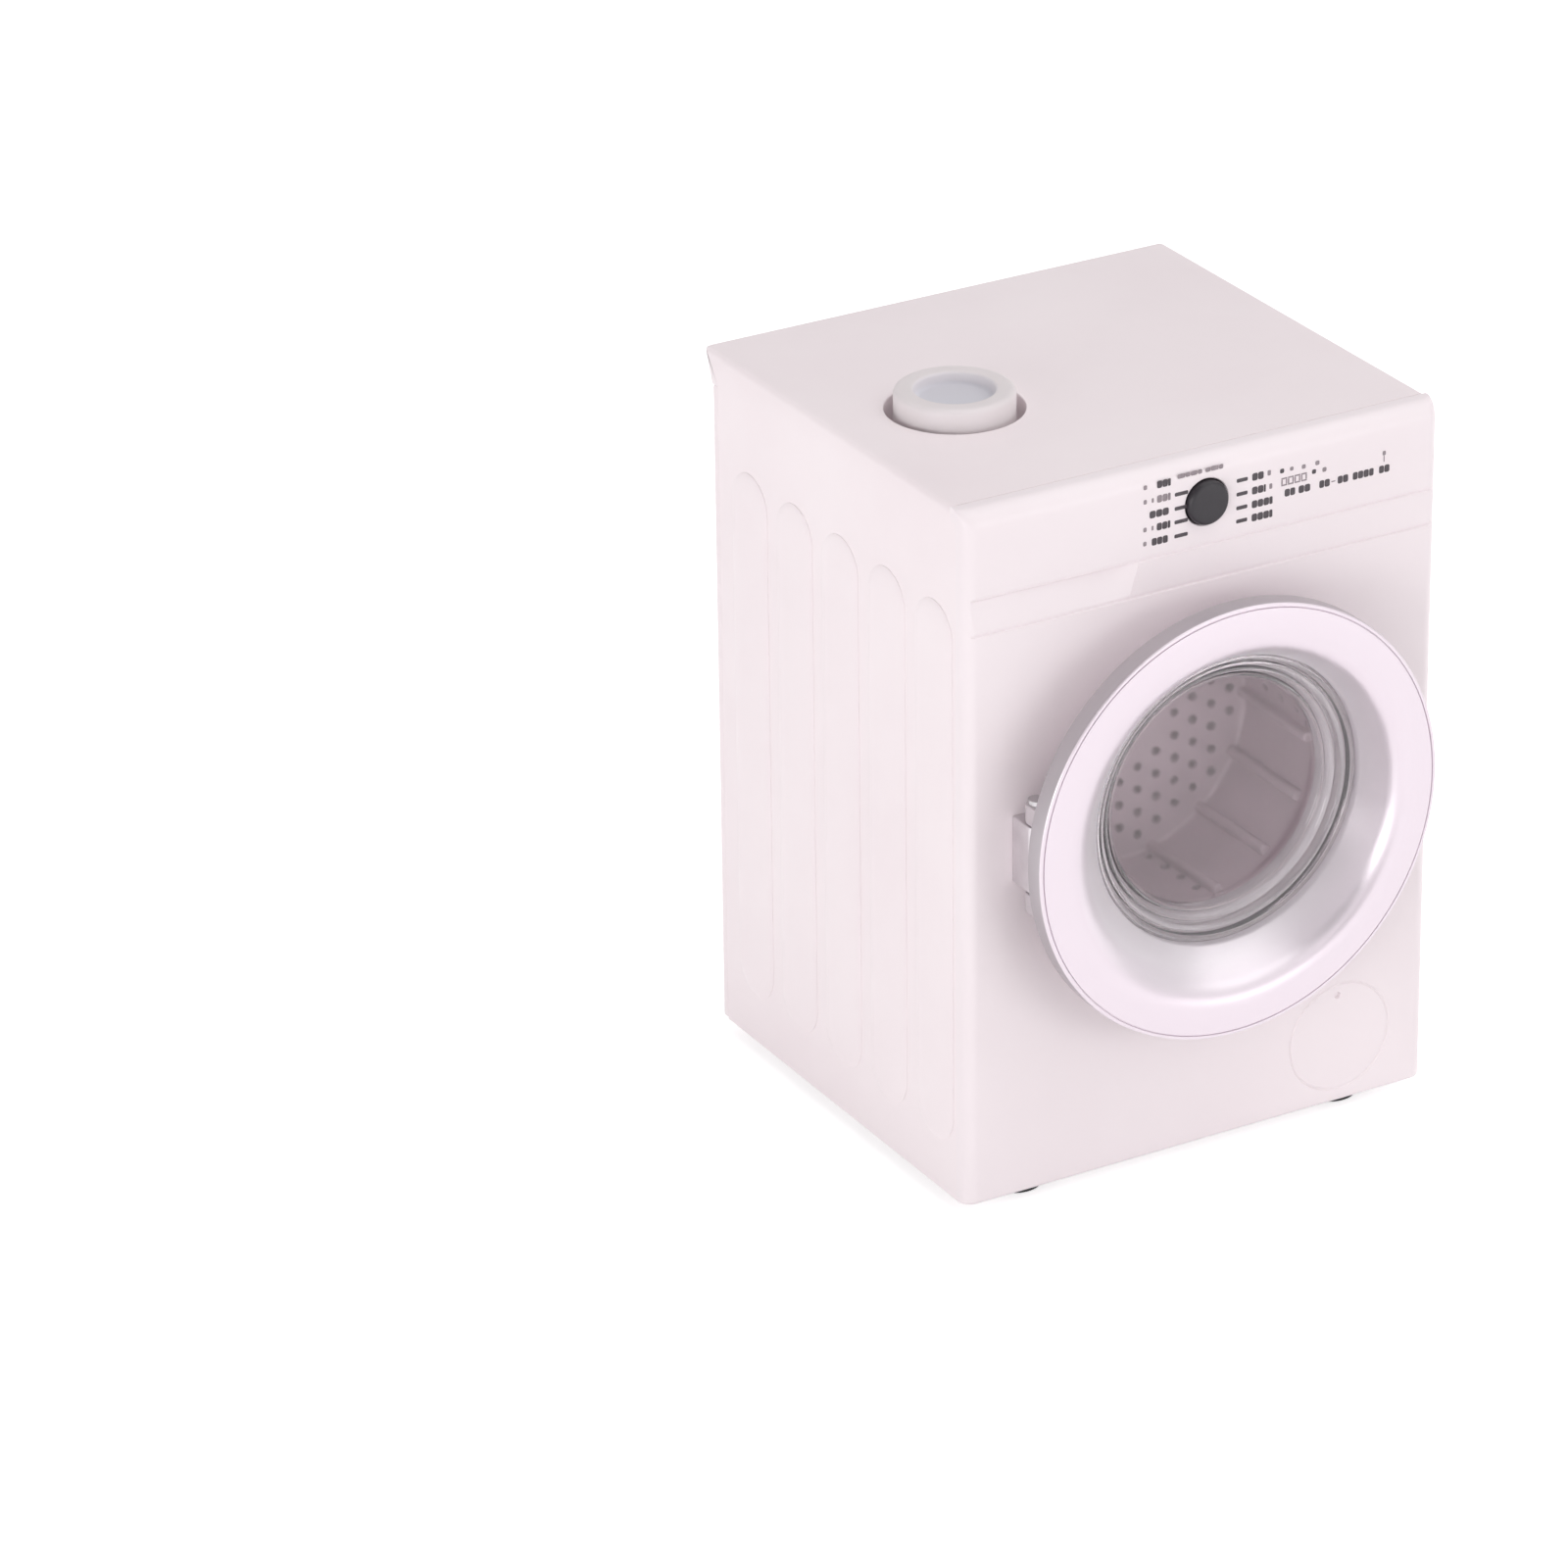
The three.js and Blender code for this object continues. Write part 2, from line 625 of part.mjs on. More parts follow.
function drumShell() {
  const inner = drumRadius - drumWall;
  const drum = turnedY([[0, back(drumFloor)], [inner, back(drumFloor)], [inner, back(drumFront + drumLip)],
    [drumLipRadius, back(drumFront + drumLip)], [drumLipRadius, back(drumFront)],
    [drumRadius, back(drumFront)], [drumRadius, back(drumBack)], [0, back(drumBack)]], windowX, doorZ);
  const ribs = [];
  for (let i = 0; i < drumRibCount; i += 1) {
    ribs.push(drumRib(drumRibFirstAngle + (i * 360) / drumRibCount));
  }
  const tools = [];
  const columnStep = drumHolePitch * Math.sin(Math.PI / 3);
  const columns = Math.floor(drumHoleField / columnStep);
  for (let column = -columns; column <= columns; column += 1) {
    const shift = column % 2 === 0 ? drumHolePitch / 2 : 0;
    for (let k = -columns - 1; k <= columns + 1; k += 1) {
      const [x, z] = [column * columnStep, k * drumHolePitch + shift];
      if (Math.hypot(x, z) > drumHoleField) continue;
      if (Math.hypot(x, z) < hubRadius + drumHoleRadius) continue;
      tools.push(rodY(drumHoleRadius, windowX + x, doorZ + z, back(drumFloor) - 1, back(drumBack) + 1, holeFacets));
    }
  }
  return cut(join(drum, ...ribs), ...tools);
}

function drumRib(degrees) {
  const turn = THREE.MathUtils.degToRad(degrees);
  const root = drumRadius - drumWall / 2;
  const crest = drumRadius - drumWall - drumRibHeight;
  const corners = [[root, drumRibWidth / 2], [crest, drumRibCrestWidth / 2],
    [crest, -drumRibCrestWidth / 2], [root, -drumRibWidth / 2]];
  const shape = new THREE.Shape(corners.map(([out, side]) => new THREE.Vector2(
    windowX + out * Math.cos(turn) - side * Math.sin(turn),
    doorZ + out * Math.sin(turn) + side * Math.cos(turn),
  )));
  return pushedY(shape, back(drumFront + drumRibFromFront), back(drumFloor + drumBackThickness / 2));
}

function drumHub() {
  const bore = shaftRadius + press;
  return turnedY([[bore, back(drumBack)], [hubRadius, back(drumBack)], [hubRadius, back(drumBack + 1.5)],
    [hubNeckRadius, back(drumBack + 3.5)], [hubNeckRadius, back(drumBack + hubLength)],
    [bore, back(drumBack + hubLength)]], windowX, doorZ, mediumFacets);
}

function drumShaft() {
  return rodY(shaftRadius, windowX, doorZ, back(drumBack), back(pulleyBack), mediumFacets);
}

function shaftSeal() {
  const start = tubBack - tubWall - tubInnerBoss;
  const bore = shaftRadius + slip;
  return turnedY([[bore, back(start)], [bushRadius, back(start)], [bushRadius, back(start + shaftSealLength)],
    [bore, back(start + shaftSealLength)]], windowX, doorZ, mediumFacets);
}

function shaftBush() {
  const bore = shaftRadius + slip;
  const start = bushEnd - bushLength;
  return turnedY([[bore, back(start)], [bushRadius, back(start)], [bushRadius, back(bushEnd)],
    [bore, back(bushEnd)]], windowX, doorZ, mediumFacets);
}

// Belt drive

function pulleyProfile(radius, bore, web) {
  const rim = radius + pulleyFlange;
  const hub = bore + pulleyWeb;
  const inside = radius - pulleyWeb;
  const face = [[rim, back(pulleyFront)], [rim, back(pulleyFront + pulleyFlangeWidth)],
    [radius, back(pulleyFront + pulleyFlangeWidth)], [radius, back(pulleyBack - pulleyFlangeWidth)],
    [rim, back(pulleyBack - pulleyFlangeWidth)], [rim, back(pulleyBack)]];
  if (!web) return [[bore, back(pulleyFront)], ...face, [bore, back(pulleyBack)]];
  const [webFront, webBack] = [beltPlane - pulleyWeb / 2, beltPlane + pulleyWeb / 2];
  return [[bore, back(pulleyFront)], [hub, back(pulleyFront)], [hub, back(webFront)], [inside, back(webFront)],
    [inside, back(pulleyFront)], ...face, [inside, back(pulleyBack)], [inside, back(webBack)],
    [hub, back(webBack)], [hub, back(pulleyBack)], [bore, back(pulleyBack)]];
}

function drumPulley() {
  const profile = pulleyProfile(drumPulleyRadius, shaftRadius + press, true);
  const wheel = turnedY(profile, windowX, doorZ, mediumFacets + smallFacets / 2);
  const middle = (drumPulleyRadius + shaftRadius) / 2 + 0.3;
  const holes = [0, 90, 180, 270].map((angle) => {
    const [x, z] = polar(middle, angle, windowX, doorZ);
    return rodY(middle / 3, x, z, back(pulleyFront), back(pulleyBack), screwFacets);
  });
  return cut(wheel, ...holes);
}

function motorPulley() {
  const profile = pulleyProfile(motorPulleyRadius, motorShaftRadius + press, false);
  return turnedY(profile, windowX, motorZ, mediumFacets);
}

function pulleyScrew() {
  return turnedY([[0, back(pulleyBack)], [screwHeadRadius + shaftRadius / 2, back(pulleyBack)],
    [screwHeadRadius, back(pulleyBack + screwHeadHeight)], [0, back(pulleyBack + screwHeadHeight)]],
  windowX, doorZ, smallFacets);
}

function beltOutline(offset) {
  const lean = Math.asin((drumPulleyRadius - motorPulleyRadius) / (doorZ - motorZ));
  const shape = new THREE.Shape();
  shape.absarc(windowX, doorZ, drumPulleyRadius + offset, -lean, Math.PI + lean);
  shape.absarc(windowX, motorZ, motorPulleyRadius + offset, Math.PI + lean, 2 * Math.PI - lean);
  shape.closePath();
  return shape;
}

function driveBelt() {
  const [y0, y1] = [back(beltPlane - beltWidth / 2), back(beltPlane + beltWidth / 2)];
  const loop = (offset, y2, y3) => {
    const geometry = new THREE.ExtrudeGeometry(beltOutline(offset),
      { depth: y3 - y2, bevelEnabled: false, curveSegments: arcFacets * 6 });
    geometry.rotateX(Math.PI / 2);
    geometry.translate(0, y3, 0);
    return toSolid(geometry);
  };
  return cut(loop(running + beltThickness, y0, y1), loop(running, y0 - 1, y1 + 1));
}

function motorOutline(width, flat) {
  const angle = Math.asin(flat / width);
  const shape = new THREE.Shape();
  shape.absarc(windowX, motorZ, width / 2, -angle, angle);
  shape.absarc(windowX, motorZ, width / 2, Math.PI - angle, Math.PI + angle);
  shape.closePath();
  return shape;
}

function driveMotor() {
  const can = pushedY(motorOutline(motorWidth, motorFlat), back(motorFront), back(motorBack));
  const boss = rodY(motorBossRadius, windowX, motorZ, back(motorBack - 1), back(motorBack + motorBoss));
  const shaftHole = rodY(motorShaftRadius + slip, windowX, motorZ, back(motorBack - 2), back(motorBack + motorBoss + 1));
  return cut(join(can, boss), shaftHole);
}

function motorShaft() {
  return rodY(motorShaftRadius, windowX, motorZ, back(motorBack - 2 + slip), back(pulleyBack));
}

function motorBracket() {
  const reach = motorWidth / 2 + slip;
  const [y0, y1] = [back(motorFront + (motorLength - bracketLength) / 2),
    back(motorFront + (motorLength + bracketLength) / 2)];
  const wing = reach + bracketThickness + bracketWing;
  let bracket = block([windowX - wing, windowX + wing], [y0, y1], [baseTopZ, baseTopZ + bracketThickness]);
  for (const side of [-1, 1]) {
    const [near, far] = [windowX + side * reach, windowX + side * (reach + bracketThickness)];
    bracket = join(bracket, block([Math.min(near, far), Math.max(near, far)], [y0, y1],
      [baseTopZ, baseTopZ + bracketThickness + bracketCheek]));
  }
  const holes = motorScrewPlaces.map(([x, y]) => rodZ(screwShankRadius + slip, x, y, bottomZ, baseTopZ + 3));
  return cut(bracket, ...holes);
}

// Door

function doorRing() {
  const lipRear = windowAhead - windowLip;
  const innerBand = ringRadius - ringWall;
  return loftedRing([
    [ringRadius, ahead(ringRear), 0], [ringRadius, ahead(ringFrontAhead), 0], [rimRadius, ahead(rimAhead), 0],
    [windowRadius, ahead(windowAhead), windowX], [windowRadius, ahead(lipRear), windowX],
    [windowRadius + 1.5, ahead(lipRear), windowX], [windowRadius + ringWall, ahead(windowAhead), windowX],
    [rimRadius + 1, ahead(rimAhead - ringWall), 0], [innerBand, ahead(ringFrontAhead - ringWall), 0],
    [innerBand, ahead(ringRear), 0]], doorZ);
}

function doorLiner() {
  const outer = ringRadius - ringWall - slip;
  const inner = outer - 2.5;
  const lift = ringRear + linerThickness;
  let liner = turnedY([[inner, ahead(lift)], [outer, ahead(lift)], [outer, ahead(ringRear)],
    [inner, ahead(ringRear)]], 0, doorZ);
  const within = rodY(outer, 0, doorZ, ahead(lift), ahead(ringRear), largeFacets);
  const hingeY = ahead(hingeAhead);
  for (const side of [-1, 1]) {
    const [near, far] = [hingeBlockHeight / 2 + knuckleGap, hingeBlockHeight / 2 + knuckleGap + knuckleHeight]
      .map((offset) => doorZ + side * offset);
    const span = [Math.min(near, far), Math.max(near, far)];
    const arm = block([hingeX - knuckleRadius, hingeX + knuckleRadius], [ahead(ringRear), hingeY], span);
    const root = block([hingeX - knuckleRadius, hingeX + knuckleRadius], [ahead(lift), ahead(ringRear)], span);
    liner = join(liner, arm, root.intersect(within), rodZ(knuckleRadius, hingeX, hingeY, ...span, smallFacets));
    liner = cut(liner, rodZ(hingePinRadius + running, hingeX, hingeY, span[0] - 1, span[1] + 1));
  }
  return liner;
}

function hingeBlock() {
  const half = hingeBlockHeight / 2;
  const hingeY = ahead(hingeAhead);
  const body = block([hingeX - knuckleRadius, hingeX + knuckleRadius], [hingeY, frontY], [doorZ - half, doorZ + half]);
  const nose = rodZ(knuckleRadius, hingeX, hingeY, doorZ - half, doorZ + half);
  return cut(join(body, nose), rodZ(hingePinRadius + press, hingeX, hingeY, doorZ - half - 1, doorZ + half + 1));
}

function hingePin() {
  const reach = hingeBlockHeight / 2 + knuckleGap + knuckleHeight;
  const [low, high] = [doorZ - reach - 0.2, doorZ + reach];
  return turnedZ([[0, low], [hingePinRadius, low], [hingePinRadius, high],
    [hingePinRadius + 0.35, high], [hingePinRadius + 0.35, high + hingePinHead], [0, high + hingePinHead]],
  hingeX, ahead(hingeAhead), smallFacets);
}

function doorGlass() {
  const flangeRadius = windowRadius + 0.9;
  const front = windowAhead - windowLip;
  const step = (windowRadius - glassEndRadius) / glassRidges;
  const drop = (front + glassEndDepth) / glassRidges;
  const face = [[flangeRadius, ahead(front)], [windowRadius - 0.3, ahead(front)]];
  for (let i = 0; i < glassRidges; i += 1) {
    const r = windowRadius - step * i;
    face.push([r - step * 0.45, ahead(front - drop * i - drop * 0.5 - glassRidgeRise)]);
    face.push([r - step * 0.8, ahead(front - drop * (i + 1) + glassRidgeRise)]);
  }
  face.push([glassEndRadius, ahead(-glassEndDepth)], [0, ahead(-glassEndDepth)]);
  const rear = [[0, ahead(-glassEndDepth - glassThickness)], [glassEndRadius + 0.4, ahead(-glassEndDepth - glassThickness)],
    [sealInnerRadius - 0.8, ahead(-sealLipFront)], [windowRadius - 0.6, ahead(front - glassThickness)],
    [flangeRadius, ahead(front - glassThickness)]];
  return turnedY([...rear, ...face], windowX, doorZ);
}

function doorCatch() {
  const span = [doorZ - catchHeight / 2, doorZ + catchHeight / 2];
  const hook = outline([[catchX, ahead(ringRear)], [catchX, back(catchReach)],
    [catchX + catchThickness, back(catchReach)], [catchX + catchThickness + catchBarb, back(panelThickness + 0.3)],
    [catchX + catchThickness + catchBarb, back(panelThickness + 0.1)],
    [catchX + catchThickness, back(panelThickness + 0.1)], [catchX + catchThickness, ahead(ringRear)]]);
  return pushedZ(hook, ...span);
}

// Filler

function fillerNeck() {
  const collar = neckRadius + running + 1.2;
  return turnedZ([
    [neckBore, pocketFloorZ], [neckRadius, pocketFloorZ], [neckRadius, pocketUnderZ], [collar, pocketUnderZ],
    [collar, pocketUnderZ - neckFlange], [neckRadius, pocketUnderZ - neckFlange],
    [neckRadius, spigotTopZ + neckFlange], [collar, spigotTopZ + neckFlange],
    [collar, spigotTopZ - neckSocket], [neckRadius + running, spigotTopZ - neckSocket],
    [neckRadius + running, spigotTopZ], [neckBore, spigotTopZ]], fillerX, fillerY);
}

function fillerCap() {
  const top = topZ + capProud;
  const plug = neckBore - running;
  const end = pocketFloorZ - plugLength;
  return turnedZ([
    [0, top - capFingerDepth - capWeb], [plug - plugWall, top - capFingerDepth - capWeb],
    [plug - plugWall, end], [plug - 0.3, end], [plug, end + 0.6], [plug, pocketFloorZ],
    [capRadius, pocketFloorZ], [capRadius, top - 0.3], [capRadius - 0.3, top], [capFingerRadius, top],
    [capFingerRadius - 0.3, top - capFingerDepth], [0, top - capFingerDepth]], fillerX, fillerY);
}

// Button and switch

function powerButton() {
  const start = panelThickness + slip;
  return turnedY([[0, ahead(buttonProud)], [buttonRadius - 0.3, ahead(buttonProud)],
    [buttonRadius, ahead(buttonProud - 0.3)], [buttonRadius, back(start)], [buttonFlangeRadius, back(start)],
    [buttonFlangeRadius, back(buttonBack)], [0, back(buttonBack)]], 0, buttonZ, mediumFacets);
}

function switchPlunger() {
  return rodY(plungerRadius, 0, buttonZ, back(buttonBack), back(buttonBack + plungerLength));
}

function pushSwitch() {
  const half = switchSize / 2;
  const body = block([-half, half], [back(switchFront), back(switchBack)], [buttonZ - half, buttonZ + half]);
  const well = buttonBack + plungerLength + buttonTravel + slip;
  return cut(body, rodY(plungerRadius + running, 0, buttonZ, frontY, back(well)));
}

function switchBoard() {
  const top = buttonZ + switchSize / 2;
  const plate = block([-switchBoardWidth / 2, switchBoardWidth / 2],
    [back(switchBack), back(switchBack + boardThickness)], [top - switchBoardHeight, top]);
  const holes = [-1, 1].map((side) => rodY(pillarRadius / 2 + slip, side * pillarX, buttonZ, frontY, backY));
  return cut(plate, ...holes);
}

// Power

function battery() {
  const half = batteryThickness / 2;
  const shape = roundedBar(batteryX - half, batteryX + half, baseTopZ, baseTopZ + batteryHeight, batteryEdge);
  return pushedY(shape, back(batteryFront), back(batteryBack));
}

function circuitBoard() {
  return block([boardX - boardWidth / 2, boardX + boardWidth / 2],
    [back(boardFront), back(boardBack)], [boardZ, boardZ + boardThickness]);
}

function chargingPort() {
  const [w, h] = [portWidth / 2, portHeight / 2];
  const outer = roundedBar(boardX - w, boardX + w, portZ - h, portZ + h, 1.2);
  const inner = roundedBar(boardX - w + portWall, boardX + w - portWall, portZ - h + portWall,
    portZ + h - portWall, 1.2 - portWall);
  const floor = cabinetDepth - portLength + 1;
  const tongue = block([boardX - portTongueWidth / 2, boardX + portTongueWidth / 2],
    [back(floor) - 0.5, back(floor + portTongueLength)],
    [portZ - portTongueHeight / 2, portZ + portTongueHeight / 2]);
  const shell = cut(pushedY(outer, back(cabinetDepth - portLength), backY), pushedY(inner, back(floor), backY + 1));
  return join(shell, tongue);
}

// Leads run from their first point to their last and end just short of what they are soldered to
const batteryTopZ = baseTopZ + batteryHeight;
const boardTopZ = boardZ + boardThickness;
const switchLeadZ = buttonZ + switchSize / 2 - switchBoardHeight - leadGap;
const wallLeadX = leadFromWall - innerX;
const railLeadX = batteryX + batteryThickness / 2 + railThickness + 3;
const motorLeadZ = baseTopZ + 2.3;
const leadRoutes = {
  battery_lead: [[batteryX, back(batteryBack + leadGap), batteryTopZ - 7.1],
    [batteryX + 0.25, back(batteryBack + 1.8), batteryTopZ - 7.7],
    [batteryX + 2.35, back(batteryBack + 5), boardTopZ + 5.9],
    [boardX - 6.35, back(boardBack - 4.7), boardTopZ + 2.8],
    [boardX - 5.75, back(boardBack - 4.4), boardTopZ + leadGap]],
  motor_lead: [[windowX - 4, back(motorFront - leadGap), motorZ], [windowX - 4.3, back(motorFront - 1.6), motorZ - 0.2],
    [windowX - 7.4, back(motorFront - 3), motorZ - 1.2], [railLeadX + 3, back(motorFront - 1.4), motorLeadZ + 2.2],
    [railLeadX, back(motorFront + 4), motorLeadZ], [railLeadX, back(boardFront - 8.6), motorLeadZ],
    [boardX - 2.35, back(boardFront - 3.6), boardTopZ - boardThickness / 2],
    [boardX - 1.15, back(boardFront - leadGap), boardTopZ - boardThickness / 2]],
  switch_lead: [[-5, back(switchBack + 0.5), switchLeadZ], [-5.1, back(switchBack + 0.6), switchLeadZ - 1.3],
    [-7, back(switchBack + 2), switchLeadZ - 3.5], [-14, back(switchBack + 2.4), switchLeadZ - 5.5],
    [wallLeadX + 2, back(switchBack + 2.4), switchLeadZ - 12.5], [wallLeadX, back(switchBack + 2.4), doorZ + 1.4],
    [wallLeadX + 0.2, back(switchBack + 3.2), batteryTopZ + 6.9],
    [wallLeadX + 1.2, back(batteryFront + 3.3), batteryTopZ + 2.3],
    [batteryX + 0.15, back(batteryBack - 11.7), batteryTopZ + 1.9],
    [batteryX + 1.35, back(batteryBack + 0.7), batteryTopZ + 1.5],
    [boardX - 7.55, back(boardBack - 8.2), boardTopZ + 12.4], [boardX - 4.25, back(boardBack - 8), boardTopZ + 4.9],
    [boardX - 3.75, back(boardBack - 8.2), boardTopZ + leadGap]],
};

function lead(route) {
  const curve = new THREE.CatmullRomCurve3(route.map((point) => new THREE.Vector3(...point)));
  const section = new THREE.Shape();
  for (let i = 0; i < 8; i += 1) {
    const [u, v] = polar(leadRadius, i * 45, 0, 0);
    if (i === 0) section.moveTo(u, v);
    else section.lineTo(u, v);
  }
  const steps = Math.round(curve.getLength() / (leadRadius * 5));
  return toSolid(new THREE.ExtrudeGeometry(section, { steps, extrudePath: curve, bevelEnabled: false }));
}

// Colour, roughness and metalness of each finish
const looks = {
  casing: [0xf3e8ea, 0.45, 0],
  silver: [0xc9c3cb, 0.32, 0.75],
  clear: [0xe8eef2, 0.08, 0],
  drum: [0x6f6168, 0.4, 0.1],
  tub: [0xb9bcc2, 0.5, 0],
  silicone: [0xcfd2d6, 0.5, 0],
  frosted: [0xdfe6ec, 0.35, 0],
  button: [0x46444c, 0.5, 0],
  rubber: [0x2a2a2c, 0.85, 0],
  steel: [0xb0b0b4, 0.3, 1],
  brass: [0xc09a55, 0.35, 1],
  board: [0x1f6b43, 0.6, 0],
  wire: [0xb5322e, 0.5, 0],
  pouch: [0xa9adb3, 0.4, 0.6],
  black: [0x202124, 0.5, 0],
};

const group = new THREE.Group();

function add(name, solid, look) {
  const { vertProperties, triVerts } = solid.getMesh();
  const geometry = new THREE.BufferGeometry();
  geometry.setAttribute('position', new THREE.BufferAttribute(vertProperties, 3));
  geometry.setIndex(new THREE.BufferAttribute(triVerts, 1));
  geometry.computeVertexNormals();
  const [color, roughness, metalness] = looks[look];
  const mesh = new THREE.Mesh(geometry, new THREE.MeshStandardMaterial({ color, roughness, metalness }));
  mesh.name = name;
  group.add(mesh);
}

add('cabinet_shell', cabinetShell(), 'casing');
add('front_panel', frontPanel(), 'casing');
add('back_cover', backCover(), 'casing');
add('base_plate', basePlate(), 'casing');
footPlaces.forEach(([x, y], i) => add(`foot_${i + 1}`, foot(x, y), 'rubber'));
add('door_seal', doorSeal(), 'silicone');
add('outer_tub', outerTub(), 'tub');
add('filler_neck', fillerNeck(), 'tub');
add('filler_cap', fillerCap(), 'frosted');
add('shaft_bush', shaftBush(), 'brass');
add('shaft_seal', shaftSeal(), 'rubber');
add('drum_shell', drumShell(), 'drum');
add('drum_hub', drumHub(), 'drum');
add('drum_shaft', drumShaft(), 'steel');
add('drum_pulley', drumPulley(), 'black');
add('pulley_screw', pulleyScrew(), 'steel');
add('drive_belt', driveBelt(), 'rubber');
add('motor_pulley', motorPulley(), 'brass');
add('motor_shaft', motorShaft(), 'steel');
add('drive_motor', driveMotor(), 'steel');
add('motor_bracket', motorBracket(), 'black');
add('battery', battery(), 'pouch');
add('circuit_board', circuitBoard(), 'board');
add('charging_port', chargingPort(), 'steel');
add('switch_board', switchBoard(), 'board');
add('push_switch', pushSwitch(), 'black');
add('switch_plunger', switchPlunger(), 'black');
add('power_button', powerButton(), 'button');
add('door_ring', doorRing(), 'silver');
add('door_liner', doorLiner(), 'silver');
add('door_glass', doorGlass(), 'clear');
add('door_catch', doorCatch(), 'silver');
add('hinge_block', hingeBlock(), 'silver');
add('hinge_pin', hingePin(), 'steel');
for (const [name, route] of Object.entries(leadRoutes)) add(name, lead(route), 'wire');
backScrewPlaces.forEach(([x, z], i) => {
  add(`back_screw_${i + 1}`, screwY(x, z, backY - screwHeadHeight, -1, screwLength - 0.5), 'steel');
});
baseScrewPlaces.forEach(([x, y], i) => {
  add(`base_screw_${i + 1}`, screwZ(x, y, bottomZ + screwHeadHeight, 1, screwLength), 'steel');
});
tubScrewPlaces.forEach(([x, z], i) => {
  add(`tub_screw_${i + 1}`, screwY(x, z, back(tubFront + tubWall), -1, tubWall + sealFlange + 0.6), 'steel');
});
motorScrewPlaces.forEach(([x, y], i) => {
  add(`motor_screw_${i + 1}`, screwZ(x, y, baseTopZ + bracketThickness, -1, bracketThickness + 1), 'steel');
});

export default group;
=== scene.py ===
# Looks of the toy washing machine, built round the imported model. Sizes are in millimetres.
import math

import bmesh
import bpy
from mathutils import Matrix, Vector


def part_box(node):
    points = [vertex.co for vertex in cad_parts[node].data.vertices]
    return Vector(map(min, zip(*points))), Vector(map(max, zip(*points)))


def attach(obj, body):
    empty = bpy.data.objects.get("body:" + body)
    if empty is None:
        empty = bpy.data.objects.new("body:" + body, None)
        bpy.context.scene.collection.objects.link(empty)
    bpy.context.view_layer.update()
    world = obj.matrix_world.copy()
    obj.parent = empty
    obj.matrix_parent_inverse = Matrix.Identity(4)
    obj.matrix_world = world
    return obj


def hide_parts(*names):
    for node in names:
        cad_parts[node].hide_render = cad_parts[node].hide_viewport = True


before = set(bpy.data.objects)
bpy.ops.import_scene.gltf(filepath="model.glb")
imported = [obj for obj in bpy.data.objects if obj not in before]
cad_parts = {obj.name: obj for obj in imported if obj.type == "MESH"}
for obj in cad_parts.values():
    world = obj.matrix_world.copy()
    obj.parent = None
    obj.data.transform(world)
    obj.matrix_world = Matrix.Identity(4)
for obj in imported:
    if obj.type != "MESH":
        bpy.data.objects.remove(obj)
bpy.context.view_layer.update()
MM = 0.001

# Cabinet
half_width = 29.2
bottom_z = 1.5
top_z = 81.5
front_y = -23.35
back_y = 29.25
rear_y = 31.05
cover_y = 28.05
wall = 1.6
panel_back = front_y + 2.0
wrap_back = front_y + 3.0
overhang_z = 77.7
panel_corner = 1.5
panel_top_radius = 2
upper_groove_z = top_z - 9.7
lower_groove_z = top_z - 13.7
filter_x = 18
filter_z = bottom_z + 8
rib_count = 5
rib_width = 7.6
rib_pitch = 9.6
rib_margin = 2.5
foot_radius = 3
foot_peg_radius = 1.2
foot_peg_top = 2.4
cover_screw_x = 25.2

# Door
ring_z = 42.6
ring_radius = 24.7
window_x = 2.0
window_radius = 16.5
window_edge = 12.8
hinge_x = -22.4
hinge_y = front_y - 3.0
hinge_arm = 1.2

# Drum
drum_front = front_y + 3.4
drum_floor = front_y + 19.1
drum_back = front_y + 20.3
drum_radius = 16.2
drum_inner = 15.4
drum_rib_foot = 15.8
drum_rib_crest = 14.5
drum_rib_count = 14
drum_rib_first = 2
drum_hole_radius = 0.5
drum_hole_pitch = 2.6
drum_hole_field = (5.5, 13.9)

# Filler and button
filler_x = -15.1
filler_y = front_y + 25.5
pocket_floor = top_z - 3.2
pocket_radius = 7.5
cap_radius = 6.5
cap_top = top_z + 2.2
button_radius = 2.45
button_z = top_z - 4.9


def away(distance):
    return front_y - distance


# Mesh helpers

def quarter(steps):
    """The angles of a quarter turn in equal steps."""
    return [math.pi / 2 * k / steps for k in range(steps + 1)]


def rounded(points, steps, closed=True):
    """Each point is (coordinates, cut): its corner is cut back that far and rounded."""
    out = []
    count = len(points)
    for i, (point, cut) in enumerate(points):
        here = Vector(point)
        if cut <= 0 or (not closed and i in (0, count - 1)):
            out.append(here)
            continue
        before = Vector(points[i - 1][0]) - here
        after = Vector(points[(i + 1) % count][0]) - here
        start = here + before.normalized() * min(cut, before.length * 0.48)
        end = here + after.normalized() * min(cut, after.length * 0.48)
        for k in range(steps + 1):
            t = k / steps
            out.append(start * (1 - t) ** 2 + here * (2 * t * (1 - t)) + end * t ** 2)
    return out


def rounded_rect(x0, x1, z0, z1, radius, steps):
    corners = ((x1 - radius, z1 - radius, 0), (x0 + radius, z1 - radius, 90),
               (x0 + radius, z0 + radius, 180), (x1 - radius, z0 + radius, 270))
    points = []
    for x, z, start in corners:
        for k in range(steps + 1):
            t = math.radians(start + 90 / steps * k)
            points.append((x + radius * math.cos(t), z + radius * math.sin(t)))
    return points


def piece_from(name, bm):
    mesh = bpy.data.meshes.new(name)
    bm.to_mesh(mesh)
    bm.free()
    piece = bpy.data.objects.new(name, mesh)
    bpy.context.scene.collection.objects.link(piece)
    return piece


def discard(piece):
    mesh = piece.data
    bpy.data.objects.remove(piece)
    bpy.data.meshes.remove(mesh)


